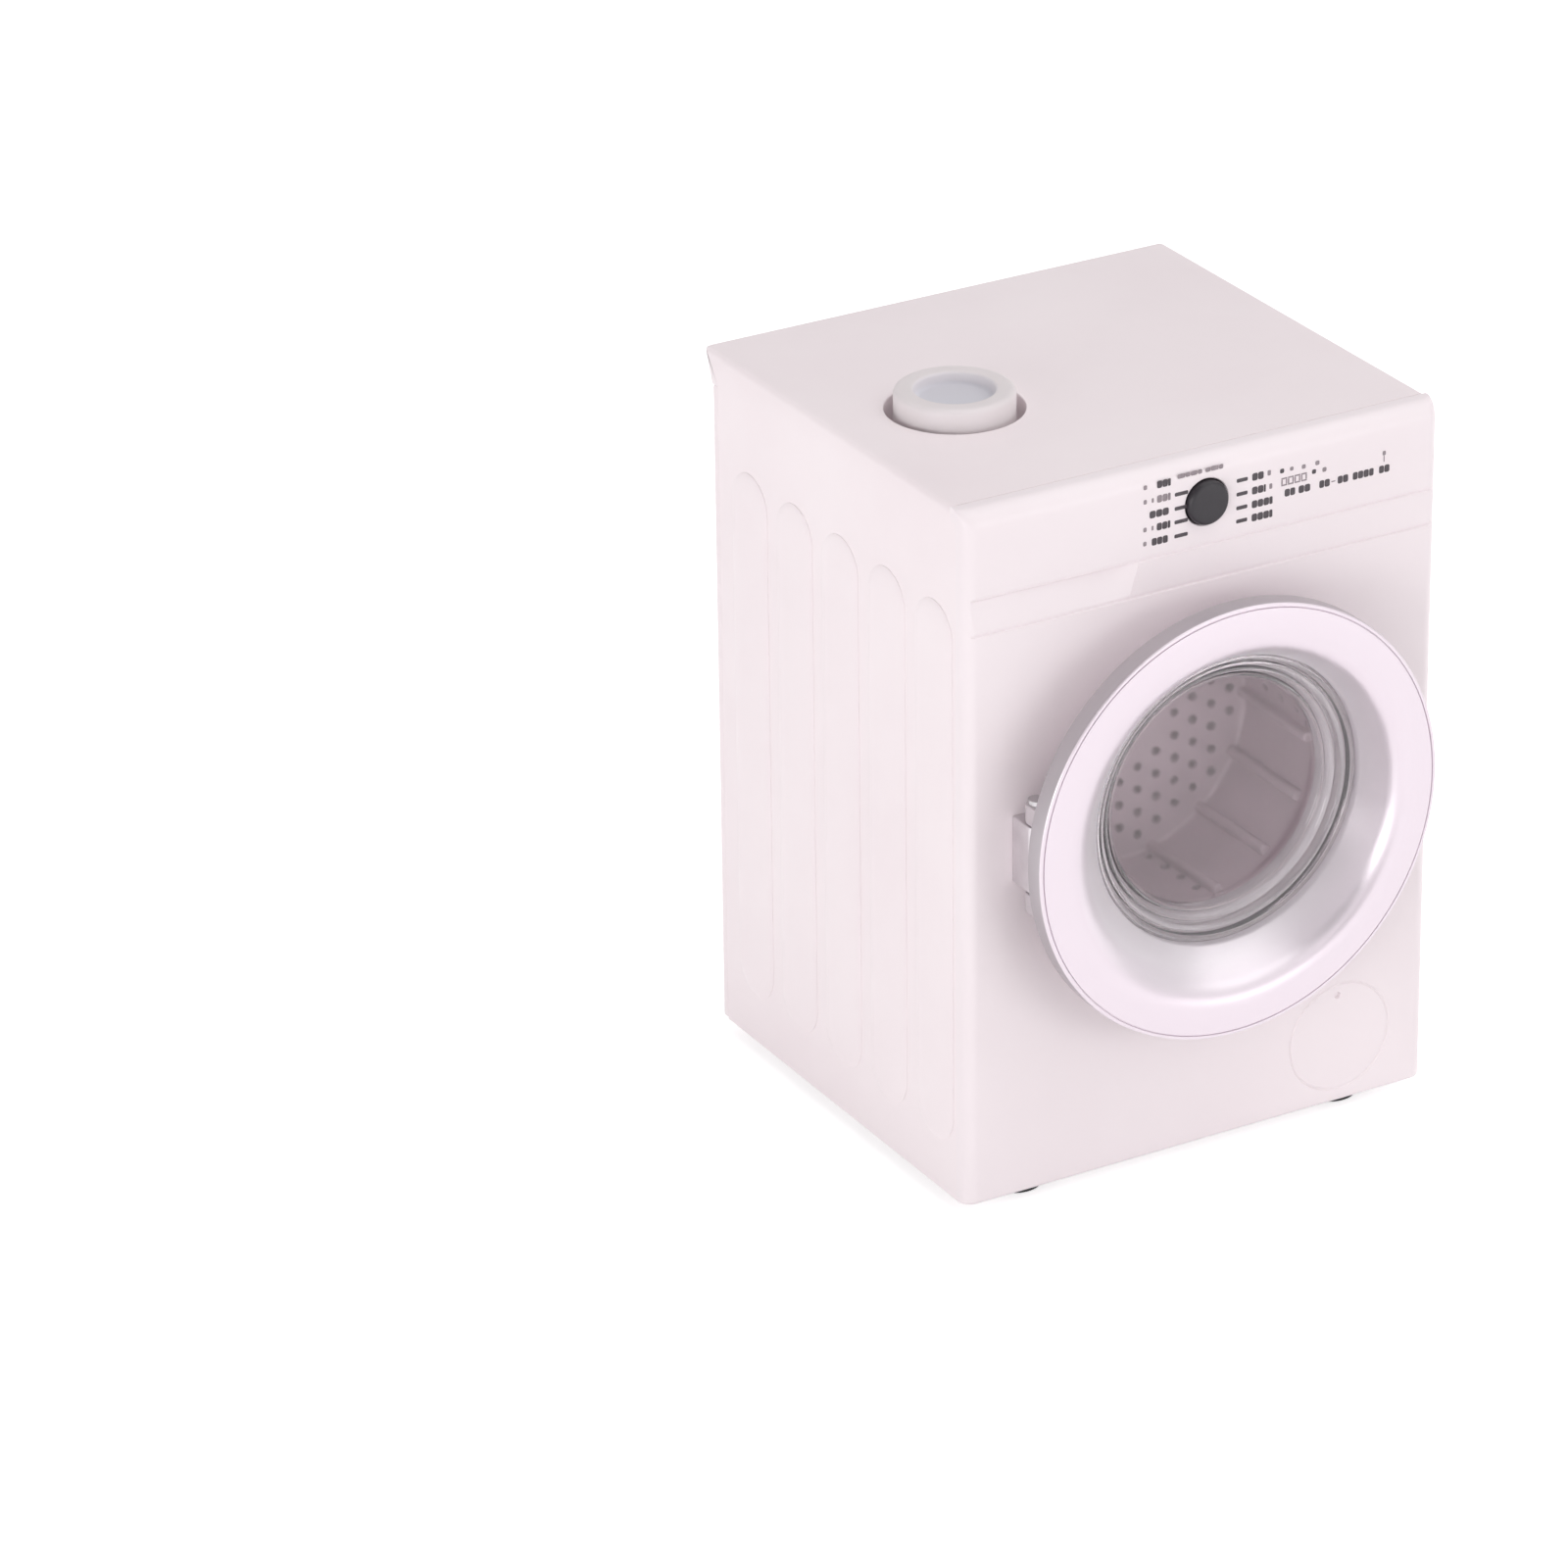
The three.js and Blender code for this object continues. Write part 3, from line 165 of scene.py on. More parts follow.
def mesh_from(name, verts, faces):
    bm = bmesh.new()
    made = [bm.verts.new(Vector(v) * MM) for v in verts]
    for face in faces:
        corners = []
        for i in face:
            if made[i] not in corners:
                corners.append(made[i])
        if len(corners) > 2:
            bm.faces.new(corners)
    bmesh.ops.recalc_face_normals(bm, faces=bm.faces)
    return piece_from(name, bm)


def loft(name, loops, closed_around=True, caps=False):
    """Joins equal loops of points; closed_around joins the last loop to the first."""
    verts = []
    rings = []
    for loop in loops:
        first = loop[0]
        if all((Vector(p) - Vector(first)).length < 1e-6 for p in loop):
            rings.append([len(verts)] * len(loop))
            verts.append(first)
        else:
            rings.append(list(range(len(verts), len(verts) + len(loop))))
            verts.extend(loop)
    faces = []
    pairs = list(zip(rings, rings[1:]))
    if closed_around:
        pairs.append((rings[-1], rings[0]))
    size = len(loops[0])
    for here, there in pairs:
        for i in range(size):
            j = (i + 1) % size
            faces.append([here[i], here[j], there[j], there[i]])
    if caps:
        faces.append(list(reversed(rings[0])))
        faces.append(rings[-1])
    return mesh_from(name, verts, faces)


def circle_xz(radius, x, y, z, segments):
    return [(x + radius * math.cos(t), y, z + radius * math.sin(t))
            for t in (2 * math.pi * i / segments for i in range(segments))]


def circle_xy(radius, x, y, z, segments):
    return [(x + radius * math.cos(t), y + radius * math.sin(t), z)
            for t in (2 * math.pi * i / segments for i in range(segments))]


def turned_y(name, profile, x, z, segments=96, steps=4):
    """profile holds ((radius, y), cut) points; a profile that meets the axis starts and ends on it."""
    on_axis = profile[0][0][0] == 0
    points = rounded(profile, steps, closed=not on_axis)
    loops = [circle_xz(p[0], x, p[1], z, segments) for p in points]
    return loft(name, loops, closed_around=not on_axis)


def turned_z(name, profile, x, y, segments=96, steps=4):
    """The same about an upright axis: profile holds ((radius, z), cut) points."""
    on_axis = profile[0][0][0] == 0
    points = rounded(profile, steps, closed=not on_axis)
    loops = [circle_xy(p[0], x, y, p[1], segments) for p in points]
    return loft(name, loops, closed_around=not on_axis)


def rod_y(name, radius, low, high, x, z, sides):
    """A plain cylinder from y = low to y = high."""
    rows = [((0, low), 0), ((radius, low), 0), ((radius, high), 0), ((0, high), 0)]
    return turned_y(name, rows, x, z, sides)


def rod_z(name, radius, low, high, x, y, sides=96, cut=0):
    """A cylinder from z = low to z = high, with its rims rounded by cut."""
    rows = [((0, low), 0), ((radius, low), cut), ((radius, high), cut), ((0, high), 0)]
    return turned_z(name, rows, x, y, sides)


def box_piece(name, low, high, bevel=0.0, segments=3):
    verts = [(x, y, z) for x in (low[0], high[0]) for y in (low[1], high[1]) for z in (low[2], high[2])]
    faces = [(0, 1, 3, 2), (4, 6, 7, 5), (0, 4, 5, 1), (2, 3, 7, 6), (0, 2, 6, 4), (1, 5, 7, 3)]
    piece = mesh_from(name, verts, faces)
    if bevel > 0:
        bevelled(piece, bevel, segments)
    return piece


def apply_all(piece):
    bpy.context.view_layer.update()
    graph = bpy.context.evaluated_depsgraph_get()
    mesh = bpy.data.meshes.new_from_object(piece.evaluated_get(graph))
    old = piece.data
    piece.modifiers.clear()
    piece.data = mesh
    bpy.data.meshes.remove(old)
    return piece


def bevelled(piece, width, segments):
    bevel = piece.modifiers.new("bevel", "BEVEL")
    bevel.width = width * MM
    bevel.segments = segments
    bevel.limit_method = "ANGLE"
    bevel.angle_limit = math.radians(30)
    return apply_all(piece)


def combine(piece, tools, operation="DIFFERENCE"):
    for tool in tools:
        change = piece.modifiers.new("change", "BOOLEAN")
        change.operation = operation
        change.solver = "EXACT"
        change.object = tool
        apply_all(piece)
        discard(tool)
    return piece


def merged(name, parts):
    """One object out of separate solids that don't touch."""
    bm = bmesh.new()
    for part in parts:
        bm.from_mesh(part.data)
        discard(part)
    return piece_from(name, bm)


def shaded(mesh, material, sharp=32):
    mesh.materials.clear()
    mesh.materials.append(material)
    mesh.polygons.foreach_set("use_smooth", [True] * len(mesh.polygons))
    mesh.set_sharp_from_angle(angle=math.radians(sharp))


def dressed(piece, body, material, nodes=(), sharp=32):
    """Gives a piece its material and shading, and says which body carries it and what it replaces."""
    bm = bmesh.new()
    bm.from_mesh(piece.data)
    bmesh.ops.remove_doubles(bm, verts=bm.verts, dist=1e-7)
    bm.to_mesh(piece.data)
    bm.free()
    shaded(piece.data, material, sharp)
    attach(piece, body)
    if nodes:
        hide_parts(*nodes)
    return piece


# Materials

def new_material(name):
    material = bpy.data.materials.new(name)
    material.use_nodes = True
    nodes = material.node_tree.nodes
    return material, nodes, material.node_tree.links, nodes["Principled BSDF"]


def noise_value(nodes, links, scale, low, high, detail=3.0, stretch=(1, 1, 1)):
    """A noise of the object's own coordinates, spread between two values."""
    where = nodes.new("ShaderNodeTexCoord")
    mapping = nodes.new("ShaderNodeMapping")
    mapping.inputs["Scale"].default_value = stretch
    links.new(where.outputs["Object"], mapping.inputs["Vector"])
    noise = nodes.new("ShaderNodeTexNoise")
    noise.inputs["Scale"].default_value = scale
    noise.inputs["Detail"].default_value = detail
    links.new(mapping.outputs["Vector"], noise.inputs["Vector"])
    return spread_value(nodes, links, noise.outputs["Fac"], 0.3, 0.7, low, high)


def blend(nodes, links, factor, first, second):
    """A colour between two, each given as a socket or as three numbers."""
    mix = nodes.new("ShaderNodeMix")
    mix.data_type = "RGBA"
    links.new(factor, mix.inputs["Factor"])
    for socket, colour in (("A", first), ("B", second)):
        if isinstance(colour, tuple):
            mix.inputs[socket].default_value = (*colour, 1)
        else:
            links.new(colour, mix.inputs[socket])
    return mix.outputs["Result"]


def add_bump(nodes, links, shader, height, strength, distance):
    bump = nodes.new("ShaderNodeBump")
    bump.inputs["Strength"].default_value = strength
    bump.inputs["Distance"].default_value = distance
    links.new(height, bump.inputs["Height"])
    links.new(bump.outputs["Normal"], shader.inputs["Normal"])


def axis_radius(nodes, links, centre, across=(1, 0, 1)):
    """The distance from the line through the centre; across is 0 along that line."""
    where = nodes.new("ShaderNodeTexCoord")
    offset = nodes.new("ShaderNodeVectorMath")
    offset.operation = "SUBTRACT"
    offset.inputs[1].default_value = Vector(centre) * MM
    links.new(where.outputs["Object"], offset.inputs[0])
    flat = nodes.new("ShaderNodeVectorMath")
    flat.operation = "MULTIPLY"
    flat.inputs[1].default_value = across
    links.new(offset.outputs[0], flat.inputs[0])
    radius = nodes.new("ShaderNodeVectorMath")
    radius.operation = "LENGTH"
    links.new(flat.outputs[0], radius.inputs[0])
    return radius.outputs["Value"]


def spread_value(nodes, links, value, low, high, start, end, shape="LINEAR"):
    """The value's range low..high turned into start..end."""
    spread = nodes.new("ShaderNodeMapRange")
    spread.interpolation_type = shape
    spread.inputs["From Min"].default_value = low
    spread.inputs["From Max"].default_value = high
    spread.inputs["To Min"].default_value = start
    spread.inputs["To Max"].default_value = end
    links.new(value, spread.inputs["Value"])
    return spread.outputs["Result"]


def finish(name, light, dark, rough, metallic=0.0, tone_scale=60, grain_scale=4000, grain=0.0,
           stretch=(1, 1, 1), zones=()):
    """A moulded or coated surface: colour that drifts a little, patchy roughness and a fine grain.

    Each zone is (near, far, colour, metallic): between these radii from the door's axis the
    surface changes to that colour, and to that metallic unless it is None. Some zones are
    two-tone paint; others are painted shade, a darker colour that stands in for shade.
    """
    material, nodes, links, shader = new_material(name)
    shader.inputs["Metallic"].default_value = metallic
    tone = blend(nodes, links, noise_value(nodes, links, tone_scale, 0, 1, 4), light, dark)
    for near, far, colour, metal in zones:
        radius = axis_radius(nodes, links, (0, 0, ring_z))
        part = spread_value(nodes, links, radius, near * MM, far * MM, 0, 1)
        tone = blend(nodes, links, part, tone, colour)
        if metal is not None:
            metal_here = spread_value(nodes, links, part, 0, 1, metallic, metal)
            links.new(metal_here, shader.inputs["Metallic"])
    links.new(tone, shader.inputs["Base Color"])
    links.new(noise_value(nodes, links, 250, *rough, 3, stretch), shader.inputs["Roughness"])
    if grain:
        height = noise_value(nodes, links, grain_scale, 0, 1, 2, stretch)
        add_bump(nodes, links, shader, height, grain, 0.00003)
    return material


def clear_plastic(name, tint, roughness, transmission, ior, waves, whitened_from=None, middle=None):
    """Transparent plastic.

    Past a radius from the window's axis, given as an argument, it is smoother and lets less
    light through, so it shows whiter: painted light, standing in for the bright bands that
    refracted light lays on the window's ridges. Near the filler's axis it has the colour middle,
    which turns into the tint at the cap's finger hole.
    """
    material, nodes, links, shader = new_material(name)
    if middle:
        radius = axis_radius(nodes, links, (filler_x, filler_y, 0), (1, 1, 0))
        part = spread_value(nodes, links, radius, 4.0 * MM, 4.6 * MM, 0, 1)
        links.new(blend(nodes, links, part, middle, tint), shader.inputs["Base Color"])
    else:
        shader.inputs["Base Color"].default_value = (*tint, 1)
    shader.inputs["IOR"].default_value = ior
    shader.inputs["Transmission Weight"].default_value = transmission
    # Painted light: less transmission whitens the ridged rim, standing in for the bright bands of refracted
    # light.
    if whitened_from:
        radius = axis_radius(nodes, links, (window_x, 0, ring_z))
        start, end = whitened_from * MM, (whitened_from + 0.5) * MM
        whitened_transmission = spread_value(nodes, links, radius, start, end, transmission, transmission * 0.86)
        links.new(whitened_transmission, shader.inputs["Transmission Weight"])
        rough = spread_value(nodes, links, radius, start, end, roughness[1], roughness[0])
    else:
        rough = noise_value(nodes, links, 300, *roughness, 3)
    links.new(rough, shader.inputs["Roughness"])
    height = noise_value(nodes, links, 220, 0, 1, 1)
    add_bump(nodes, links, shader, height, waves, 0.0001)
    return material


casing = finish("moulded_white", (0.915, 0.835, 0.855), (0.885, 0.795, 0.82), (0.34, 0.46), grain=0.12,
                tone_scale=35, grain_scale=2600)
panel_white = finish("panel_white", (0.905, 0.83, 0.855), (0.875, 0.795, 0.82), (0.32, 0.42), grain=0.08,
                     tone_scale=35, grain_scale=2600)
# The ring's first zone is its two-tone paint, a lavender face round a silver dish. Its second zone is
# painted shade: the dark colour on the ring's outer wall stands in for the shade on it.
silver = finish("satin_silver", (0.95, 0.915, 0.945), (0.92, 0.885, 0.915), (0.31, 0.37), metallic=0.52,
                grain=0.1, grain_scale=2600, tone_scale=60,
                zones=((17.4, 20.2, (0.78, 0.70, 0.76), 0.42), (24.66, 24.69, (0.46, 0.425, 0.45), None)))
silver_dark = finish("cast_silver", (0.70, 0.66, 0.685), (0.62, 0.58, 0.605), (0.32, 0.42), metallic=0.7,
                     grain=0.3, grain_scale=5000, tone_scale=400)
drum_metal = finish("drum_plated", (0.75, 0.65, 0.69), (0.675, 0.585, 0.615), (0.28, 0.40), metallic=0.2,
                    grain=0.12, grain_scale=3000, tone_scale=120)
tub_plastic = finish("tub_grey", (0.40, 0.37, 0.385), (0.34, 0.32, 0.33), (0.45, 0.6), grain=0.1)
seal_soft = finish("seal_silicone", (0.80, 0.77, 0.79), (0.74, 0.71, 0.73), (0.45, 0.6), grain=0.2)
button_dark = finish("button_dark", (0.026, 0.022, 0.028), (0.021, 0.018, 0.023), (0.42, 0.54), grain=0.3,
                     grain_scale=3500)
rubber = finish("foot_rubber", (0.028, 0.027, 0.028), (0.018, 0.018, 0.019), (0.7, 0.9), grain=0.6,
                grain_scale=3000)
steel = finish("plain_steel", (0.62, 0.61, 0.62), (0.54, 0.53, 0.54), (0.30, 0.42), metallic=1.0, grain=0.2,
               stretch=(1, 6, 1))
brass = finish("turned_brass", (0.70, 0.53, 0.26), (0.62, 0.46, 0.22), (0.29, 0.38), metallic=1.0, grain=0.2)
board_green = finish("board_green", (0.03, 0.22, 0.10), (0.02, 0.17, 0.08), (0.3, 0.5), grain=0.2)
wire_red = finish("wire_red", (0.55, 0.06, 0.05), (0.48, 0.05, 0.04), (0.35, 0.5), grain=0.1)
pouch = finish("foil_pouch", (0.62, 0.62, 0.65), (0.52, 0.52, 0.55), (0.29, 0.45), metallic=0.9, grain=0.6,
               grain_scale=900)
black_plastic = finish("black_plastic", (0.03, 0.03, 0.034), (0.022, 0.022, 0.025), (0.4, 0.55), grain=0.3)
ink = finish("legend_ink", (0.055, 0.045, 0.052), (0.085, 0.07, 0.08), (0.45, 0.6), tone_scale=1500)
ink_faint = finish("legend_ink_faint", (0.24, 0.20, 0.22), (0.34, 0.29, 0.31), (0.45, 0.6), tone_scale=1500)
# The window whitens from 12.9 mm out: painted light for the bright bands on its ridges.
window_clear = clear_plastic("window_clear", (0.985, 0.955, 0.975), (0.02, 0.08), 1.0, 1.46, 0.08, 12.9)
cap_frosted = clear_plastic("cap_frosted", (0.93, 0.87, 0.88), (0.4, 0.5), 0.22, 1.4, 0.2,
                            middle=(0.80, 0.79, 0.85))

node_looks = {
    "cabinet_shell": casing, "front_panel": panel_white, "back_cover": casing, "base_plate": casing,
    "door_seal": seal_soft, "outer_tub": tub_plastic, "filler_neck": tub_plastic, "filler_cap": cap_frosted,
    "shaft_bush": brass, "shaft_seal": rubber, "drum_shell": drum_metal, "drum_hub": drum_metal,
    "drum_shaft": steel, "drum_pulley": black_plastic, "pulley_screw": steel, "drive_belt": rubber,
    "motor_pulley": brass, "motor_shaft": steel, "drive_motor": steel, "motor_bracket": black_plastic,
    "battery": pouch, "circuit_board": board_green, "charging_port": steel, "switch_board": board_green,
    "push_switch": black_plastic, "switch_plunger": black_plastic, "power_button": button_dark,
    "door_ring": silver, "door_liner": silver_dark, "door_glass": window_clear, "door_catch": silver_dark,
    "hinge_block": silver_dark, "hinge_pin": steel}
shared_looks = {"_screw": steel, "_lead": wire_red, "foot": rubber}
for node_name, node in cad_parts.items():
    look = node_looks.get(node_name)
    if look is None:
        look = next(shared for part, shared in shared_looks.items() if part in node_name)
    shaded(node.data, look)


# Cabinet moulding

def extruded_x(name, profile, half, edge, steps):
    """profile holds ((y, z), inward) points; the ends at +-half are rounded by moving points inward."""
    stations = [(-half + edge * (1 - math.cos(t)), edge * (1 - math.sin(t))) for t in quarter(steps)]
    stations += [(-x, inset) for x, inset in reversed(stations)]
    loops = [[(x, y + dy * inset, z + dz * inset) for (y, z), (dy, dz) in profile]
             for x, inset in stations]
    return loft(name, loops, closed_around=False, caps=True)


def rib(side, centre_y):
    """A broad flat rib on a side wall, with round ends and soft edges."""
    low, high = bottom_z + 5.8, bottom_z + 68.5

    def pill(x, inset):
        r = rib_width / 2 - inset
        points = []
        for start, end_z in ((0, high - rib_width / 2), (math.pi, low + rib_width / 2)):
            for k in range(25):
                t = start + math.pi * k / 24
                points.append((x, centre_y + r * math.cos(t), end_z + r * math.sin(t)))
        return points

    levels = [(half_width - 0.4, 0.0), (half_width + 0.07, 0.08), (half_width + 0.16, 0.32),
              (half_width + 0.25, 0.75), (half_width + 0.3, 1.3)]
    return loft("rib", [pill(side * x, inset) for x, inset in levels], closed_around=False, caps=True)


def cabinet():
    """Top and sides in one, with the rear overhang, the ribs, and the pocket of the filler cap."""
    outline = [((panel_back, bottom_z), (0, 0)), ((cover_y, bottom_z), (0, 0)),
               ((cover_y, overhang_z), (0, 0)), ((back_y, overhang_z), (0, 0)),
               ((rear_y - 0.12, top_z - 0.75), (-1, 0.2)),
               ((rear_y, top_z - 0.5), (-1, 0)), ((rear_y - 0.06, top_z - 0.2), (-1, -0.4)),
               ((rear_y - 0.25, top_z - 0.04), (-0.7, -0.8)), ((rear_y - 0.5, top_z), (-0.3, -1)),
               ((wrap_back, top_z), (0, -1)), ((wrap_back, top_z - wall), (0, 0)),
               ((panel_back, top_z - wall), (0, 0))]
    shell = extruded_x("cabinet_moulding", outline, half_width, 0.7, 4)
    hollow = box_piece("hollow", (-half_width + wall, front_y - 5, bottom_z - 5),
                       (half_width - wall, cover_y + 0.01, top_z - wall))
    combine(shell, [hollow])
    ribs = [rib(side, front_y + rib_margin + rib_width / 2 + i * rib_pitch)
            for side in (-1, 1) for i in range(rib_count)]
    combine(shell, [merged("ribs", ribs)], "UNION")
    collar = rod_z("collar", 9, pocket_floor - 1.4, top_z - 0.2, filler_x, filler_y)
    combine(shell, [collar], "UNION")
    rows = [((0, pocket_floor), 0), ((pocket_radius, pocket_floor), 0.2),
            ((pocket_radius, top_z - 0.1), 0.05), ((pocket_radius + 0.1, top_z + 0.02), 0),
            ((pocket_radius + 0.1, top_z + 1), 0), ((0, top_z + 1), 0)]
    pocket = turned_z("pocket", rows, filler_x, filler_y, 128)
    throat = rod_z("throat", 5.3, 60, top_z, filler_x, filler_y)
    combine(shell, [pocket, throat])
    return dressed(shell, "cabinet", casing, ["cabinet_shell"], 24)


# Front panel

def corner_shift(x):
    """How far the front face falls back at x, round the panel's upright corners."""
    over = max(0.0, abs(x) - (half_width - panel_corner))
    return panel_corner - math.sqrt(max(0.0, panel_corner * panel_corner - over * over))


def front_panel():
    """Straight sections from side to side, bent over at the top, with all its holes and grooves."""
    bend = panel_top_radius
    front = [(front_y + 0.5 * (1 - math.sin(t)), bottom_z + 0.5 * (1 - math.cos(t)))
             for t in quarter(4)]
    front += [(front_y + bend - bend * math.cos(t), top_z - bend + bend * math.sin(t))
              for t in quarter(12)]
    rear = [(wrap_back - 0.12, top_z), (wrap_back, top_z - 0.12), (wrap_back, top_z - wall),
            (panel_back, top_z - wall), (panel_back, bottom_z)]
    stations = [half_width - panel_corner * (1 - math.sin(t)) for t in quarter(12)]
    stations = [-x for x in reversed(stations)] + stations
    loops = []
    for x in stations:
        shift = corner_shift(x)
        moved = [(x, y + shift * (1 - (y - front_y) / 3), z) for y, z in front]
        loops.append(moved + [(x, y, z) for y, z in rear])
    panel = loft("fascia_panel", loops, closed_around=False, caps=True)
    cuts = []
    for z in (upper_groove_z, lower_groove_z):
        section = [(front_y - 1, z + 0.3), (front_y, z + 0.24), (front_y + 0.22, z + 0.1),
                   (front_y + 0.22, z - 0.1), (front_y, z - 0.24), (front_y - 1, z - 0.3)]
        loops = [[(x, y, h) for y, h in section] for x in (-half_width - 1, half_width + 1)]
        cuts.append(loft("groove", loops, closed_around=False, caps=True))
    cuts.append(drawer_scoop())
    holes = (("window_hole", 17.8, 0.15, 0.2, window_x, ring_z, 144),
             ("button_hole", 2.6, 0.1, 0.12, 0, button_z, 64))
    for name, radius, edge, depth, x, z, segments in holes:
        rows = [((0, front_y - 2), 0), ((radius + edge, front_y - 2), 0), ((radius + edge, front_y), 0),
                ((radius, front_y + depth), 0), ((radius, panel_back + 2), 0), ((0, panel_back + 2), 0)]
        cuts.append(turned_y(name, rows, x, z, segments))
    cuts.append(box_piece("catch_slot", (21.8, front_y - 1, ring_z - 2.4),
                          (24.6, panel_back + 1, ring_z + 4.6)))
    rows = [((6.12, front_y - 1), 0), ((6.16, front_y), 0), ((6.28, front_y + 0.12), 0),
            ((6.38, front_y + 0.12), 0), ((6.5, front_y), 0), ((6.52, front_y - 1), 0)]
    cuts.append(turned_y("filter_groove", rows, filter_x, filter_z))
    rows = [((0, front_y - 1), 0), ((0.42, front_y - 1), 0), ((0.42, front_y), 0),
            ((0.3, front_y + 0.3), 0), ((0, front_y + 0.3), 0)]
    cuts.append(turned_y("filter_dot", rows, filter_x - 0.3, filter_z + 5.0, 20))
    combine(panel, cuts)
    return dressed(panel, "cabinet", panel_white, ["front_panel"], 24)


def drawer_scoop():
    """Deepest under its upper edge near its right end, shallow at its left end and along its foot."""
    left, right = -half_width + 0.8, -8.2
    high, low = upper_groove_z, lower_groove_z
    loops = []
    count = 24
    for i in range(count + 1):
        t = i / count
        x = left + (right - left) * t
        depth = (0.25 + 0.75 * t ** 1.5) * min(1.0, (count - i) / 3 + 0.05)
        low_x = x - 1.2 * t
        loops.append([(low_x, front_y - 1, low), (low_x, front_y + 0.02, low),
                      ((low_x + x) / 2, front_y + depth * 0.55, (low + high) / 2),
                      (x, front_y + depth, high - 0.15), (x, front_y - 1, high - 0.15)])
    return loft("scoop", loops, closed_around=False, caps=True)


# Door

def door_ring():
    """Each row is ((radius, y, x of its centre), cut): the window's circle lies off the ring's axis."""
    rows = [((ring_radius, away(4.9), 0), 0.15), ((ring_radius, away(7.32), 0), 0.32),
            ((24.3, away(7.35), 0), 0.02), ((24.27, away(7.16), 0), 0.02),
            ((24.18, away(7.16), 0), 0.02), ((24.15, away(7.36), 0), 0.02), ((19.9, away(7.7), 0), 2.3),
            ((window_radius, away(2.1), window_x), 0.25), ((window_radius, away(1.2), window_x), 0),
            ((18.0, away(1.2), window_x), 0), ((17.7, away(2.1), window_x), 0.2),
            ((20.8, away(6.4), 0), 0.4), ((23.5, away(6.1), 0), 0.4), ((23.5, away(4.9), 0), 0.1)]
    points = rounded(rows, 7)
    ring = loft("door_ring_fine", [circle_xz(r, x, y, ring_z, 192) for r, y, x in points])
    return dressed(ring, "door", silver, ["door_ring"], 40)


def door_glass():
    """A bowl whose front side falls in ridged steps to a flat end; its rim lies behind the ring."""
    end_depth = 1.1
    end_y = front_y + end_depth
    rows = [((0, end_y + 0.8), 0), ((window_edge + 0.3, end_y + 0.8), 0.5), ((14.4, front_y + 0.5), 0.5),
            ((15.9, away(0.4)), 0.2), ((17.4, away(0.4)), 0.05), ((17.4, away(1.2)), 0.05),
            ((16.45, away(1.2)), 0.1)]
    ridges = 4
    high_r, high_o = 16.3, 1.2
    slope_r, slope_o = window_edge - high_r, -end_depth - high_o
    for i in range(ridges):
        for f, lift, cut in ((0.0, 0.0, 0.01), (0.16, 0.5, 0.4), (0.66, 0.62, 0.4), (0.92, 0.0, 0.01)):
            t = (i + f) / ridges
            rows.append(((high_r + slope_r * t, away(high_o + slope_o * t + lift)), cut))
    rows += [((window_edge, end_y), 0.2), ((0, end_y), 0)]
    glass = turned_y("door_window", rows, window_x, ring_z, 192, 5)
    return dressed(glass, "door", window_clear, ["door_glass"], 60)


def knuckle(z0, z1):
    """A rounded arm from the liner to the hinge axis."""
    points = []
    for k in range(17):
        t = -math.pi / 2 + math.pi * k / 16
        points.append((hinge_x - hinge_arm * math.sin(t), hinge_y + hinge_arm * math.cos(t)))
    points += [(hinge_x - hinge_arm, away(5.7)), (hinge_x + hinge_arm, away(5.7))]
    levels = [(z0, 0.2), (z0 + 0.06, 0.06), (z0 + 0.2, 0), (z1 - 0.2, 0), (z1 - 0.06, 0.06), (z1, 0.2)]
    middle_y = hinge_y - 1
    loops = []
    for z, inset in levels:
        share = 1 - inset / 1.6
        loops.append([(hinge_x + (x - hinge_x) * share, middle_y + (y - middle_y) * share, z)
                      for x, y in points])
    return loft("knuckle", loops, closed_around=False, caps=True)


def pin_bore(radius):
    return rod_z("bore", radius, ring_z - 9, ring_z + 9, hinge_x, hinge_y, 32)


def door_liner():
    rows = [((20.8, away(5.7)), 0.1), ((23.3, away(5.7)), 0.1), ((23.3, away(4.9)), 0.15),
            ((20.8, away(4.9)), 0.2)]
    liner = turned_y("door_liner_fine", rows, 0, ring_z, 144, 3)
    knuckles = [knuckle(ring_z + 4.0, ring_z + 6.2), knuckle(ring_z - 6.2, ring_z - 4.0)]
    combine(liner, knuckles, "UNION")
    combine(liner, [pin_bore(0.75)])
    return dressed(liner, "door", silver_dark, ["door_liner"], 35)


def hinge_block():
    low, high = ring_z - 3.8, ring_z + 3.8
    body = box_piece("hinge_body", (hinge_x - hinge_arm, hinge_y, low),
                     (hinge_x + hinge_arm, front_y, high), 0.18)
    combine(body, [rod_z("nose", hinge_arm, low, high, hinge_x, hinge_y, 40, 0.15)], "UNION")
    combine(body, [pin_bore(0.65)])
    return dressed(body, "cabinet", silver_dark, ["hinge_block"], 35)


# Drum

def hole_rod(x, z):
    return rod_y("rod", drum_hole_radius, drum_floor - 1, drum_back + 1, x, z, 16)


def wall_rod(degrees, y):
    rod = rod_y("rod", drum_hole_radius, -2, 2, 0, 0, 14)
    rod.data.transform(Matrix.Rotation(math.pi / 2, 4, "Z"))
    rod.data.transform(Matrix.Translation(Vector((drum_radius - 0.4, 0, 0)) * MM))
    rod.data.transform(Matrix.Rotation(-math.radians(degrees), 4, "Y"))
    rod.data.transform(Matrix.Translation(Vector((window_x, y, ring_z)) * MM))
    return rod


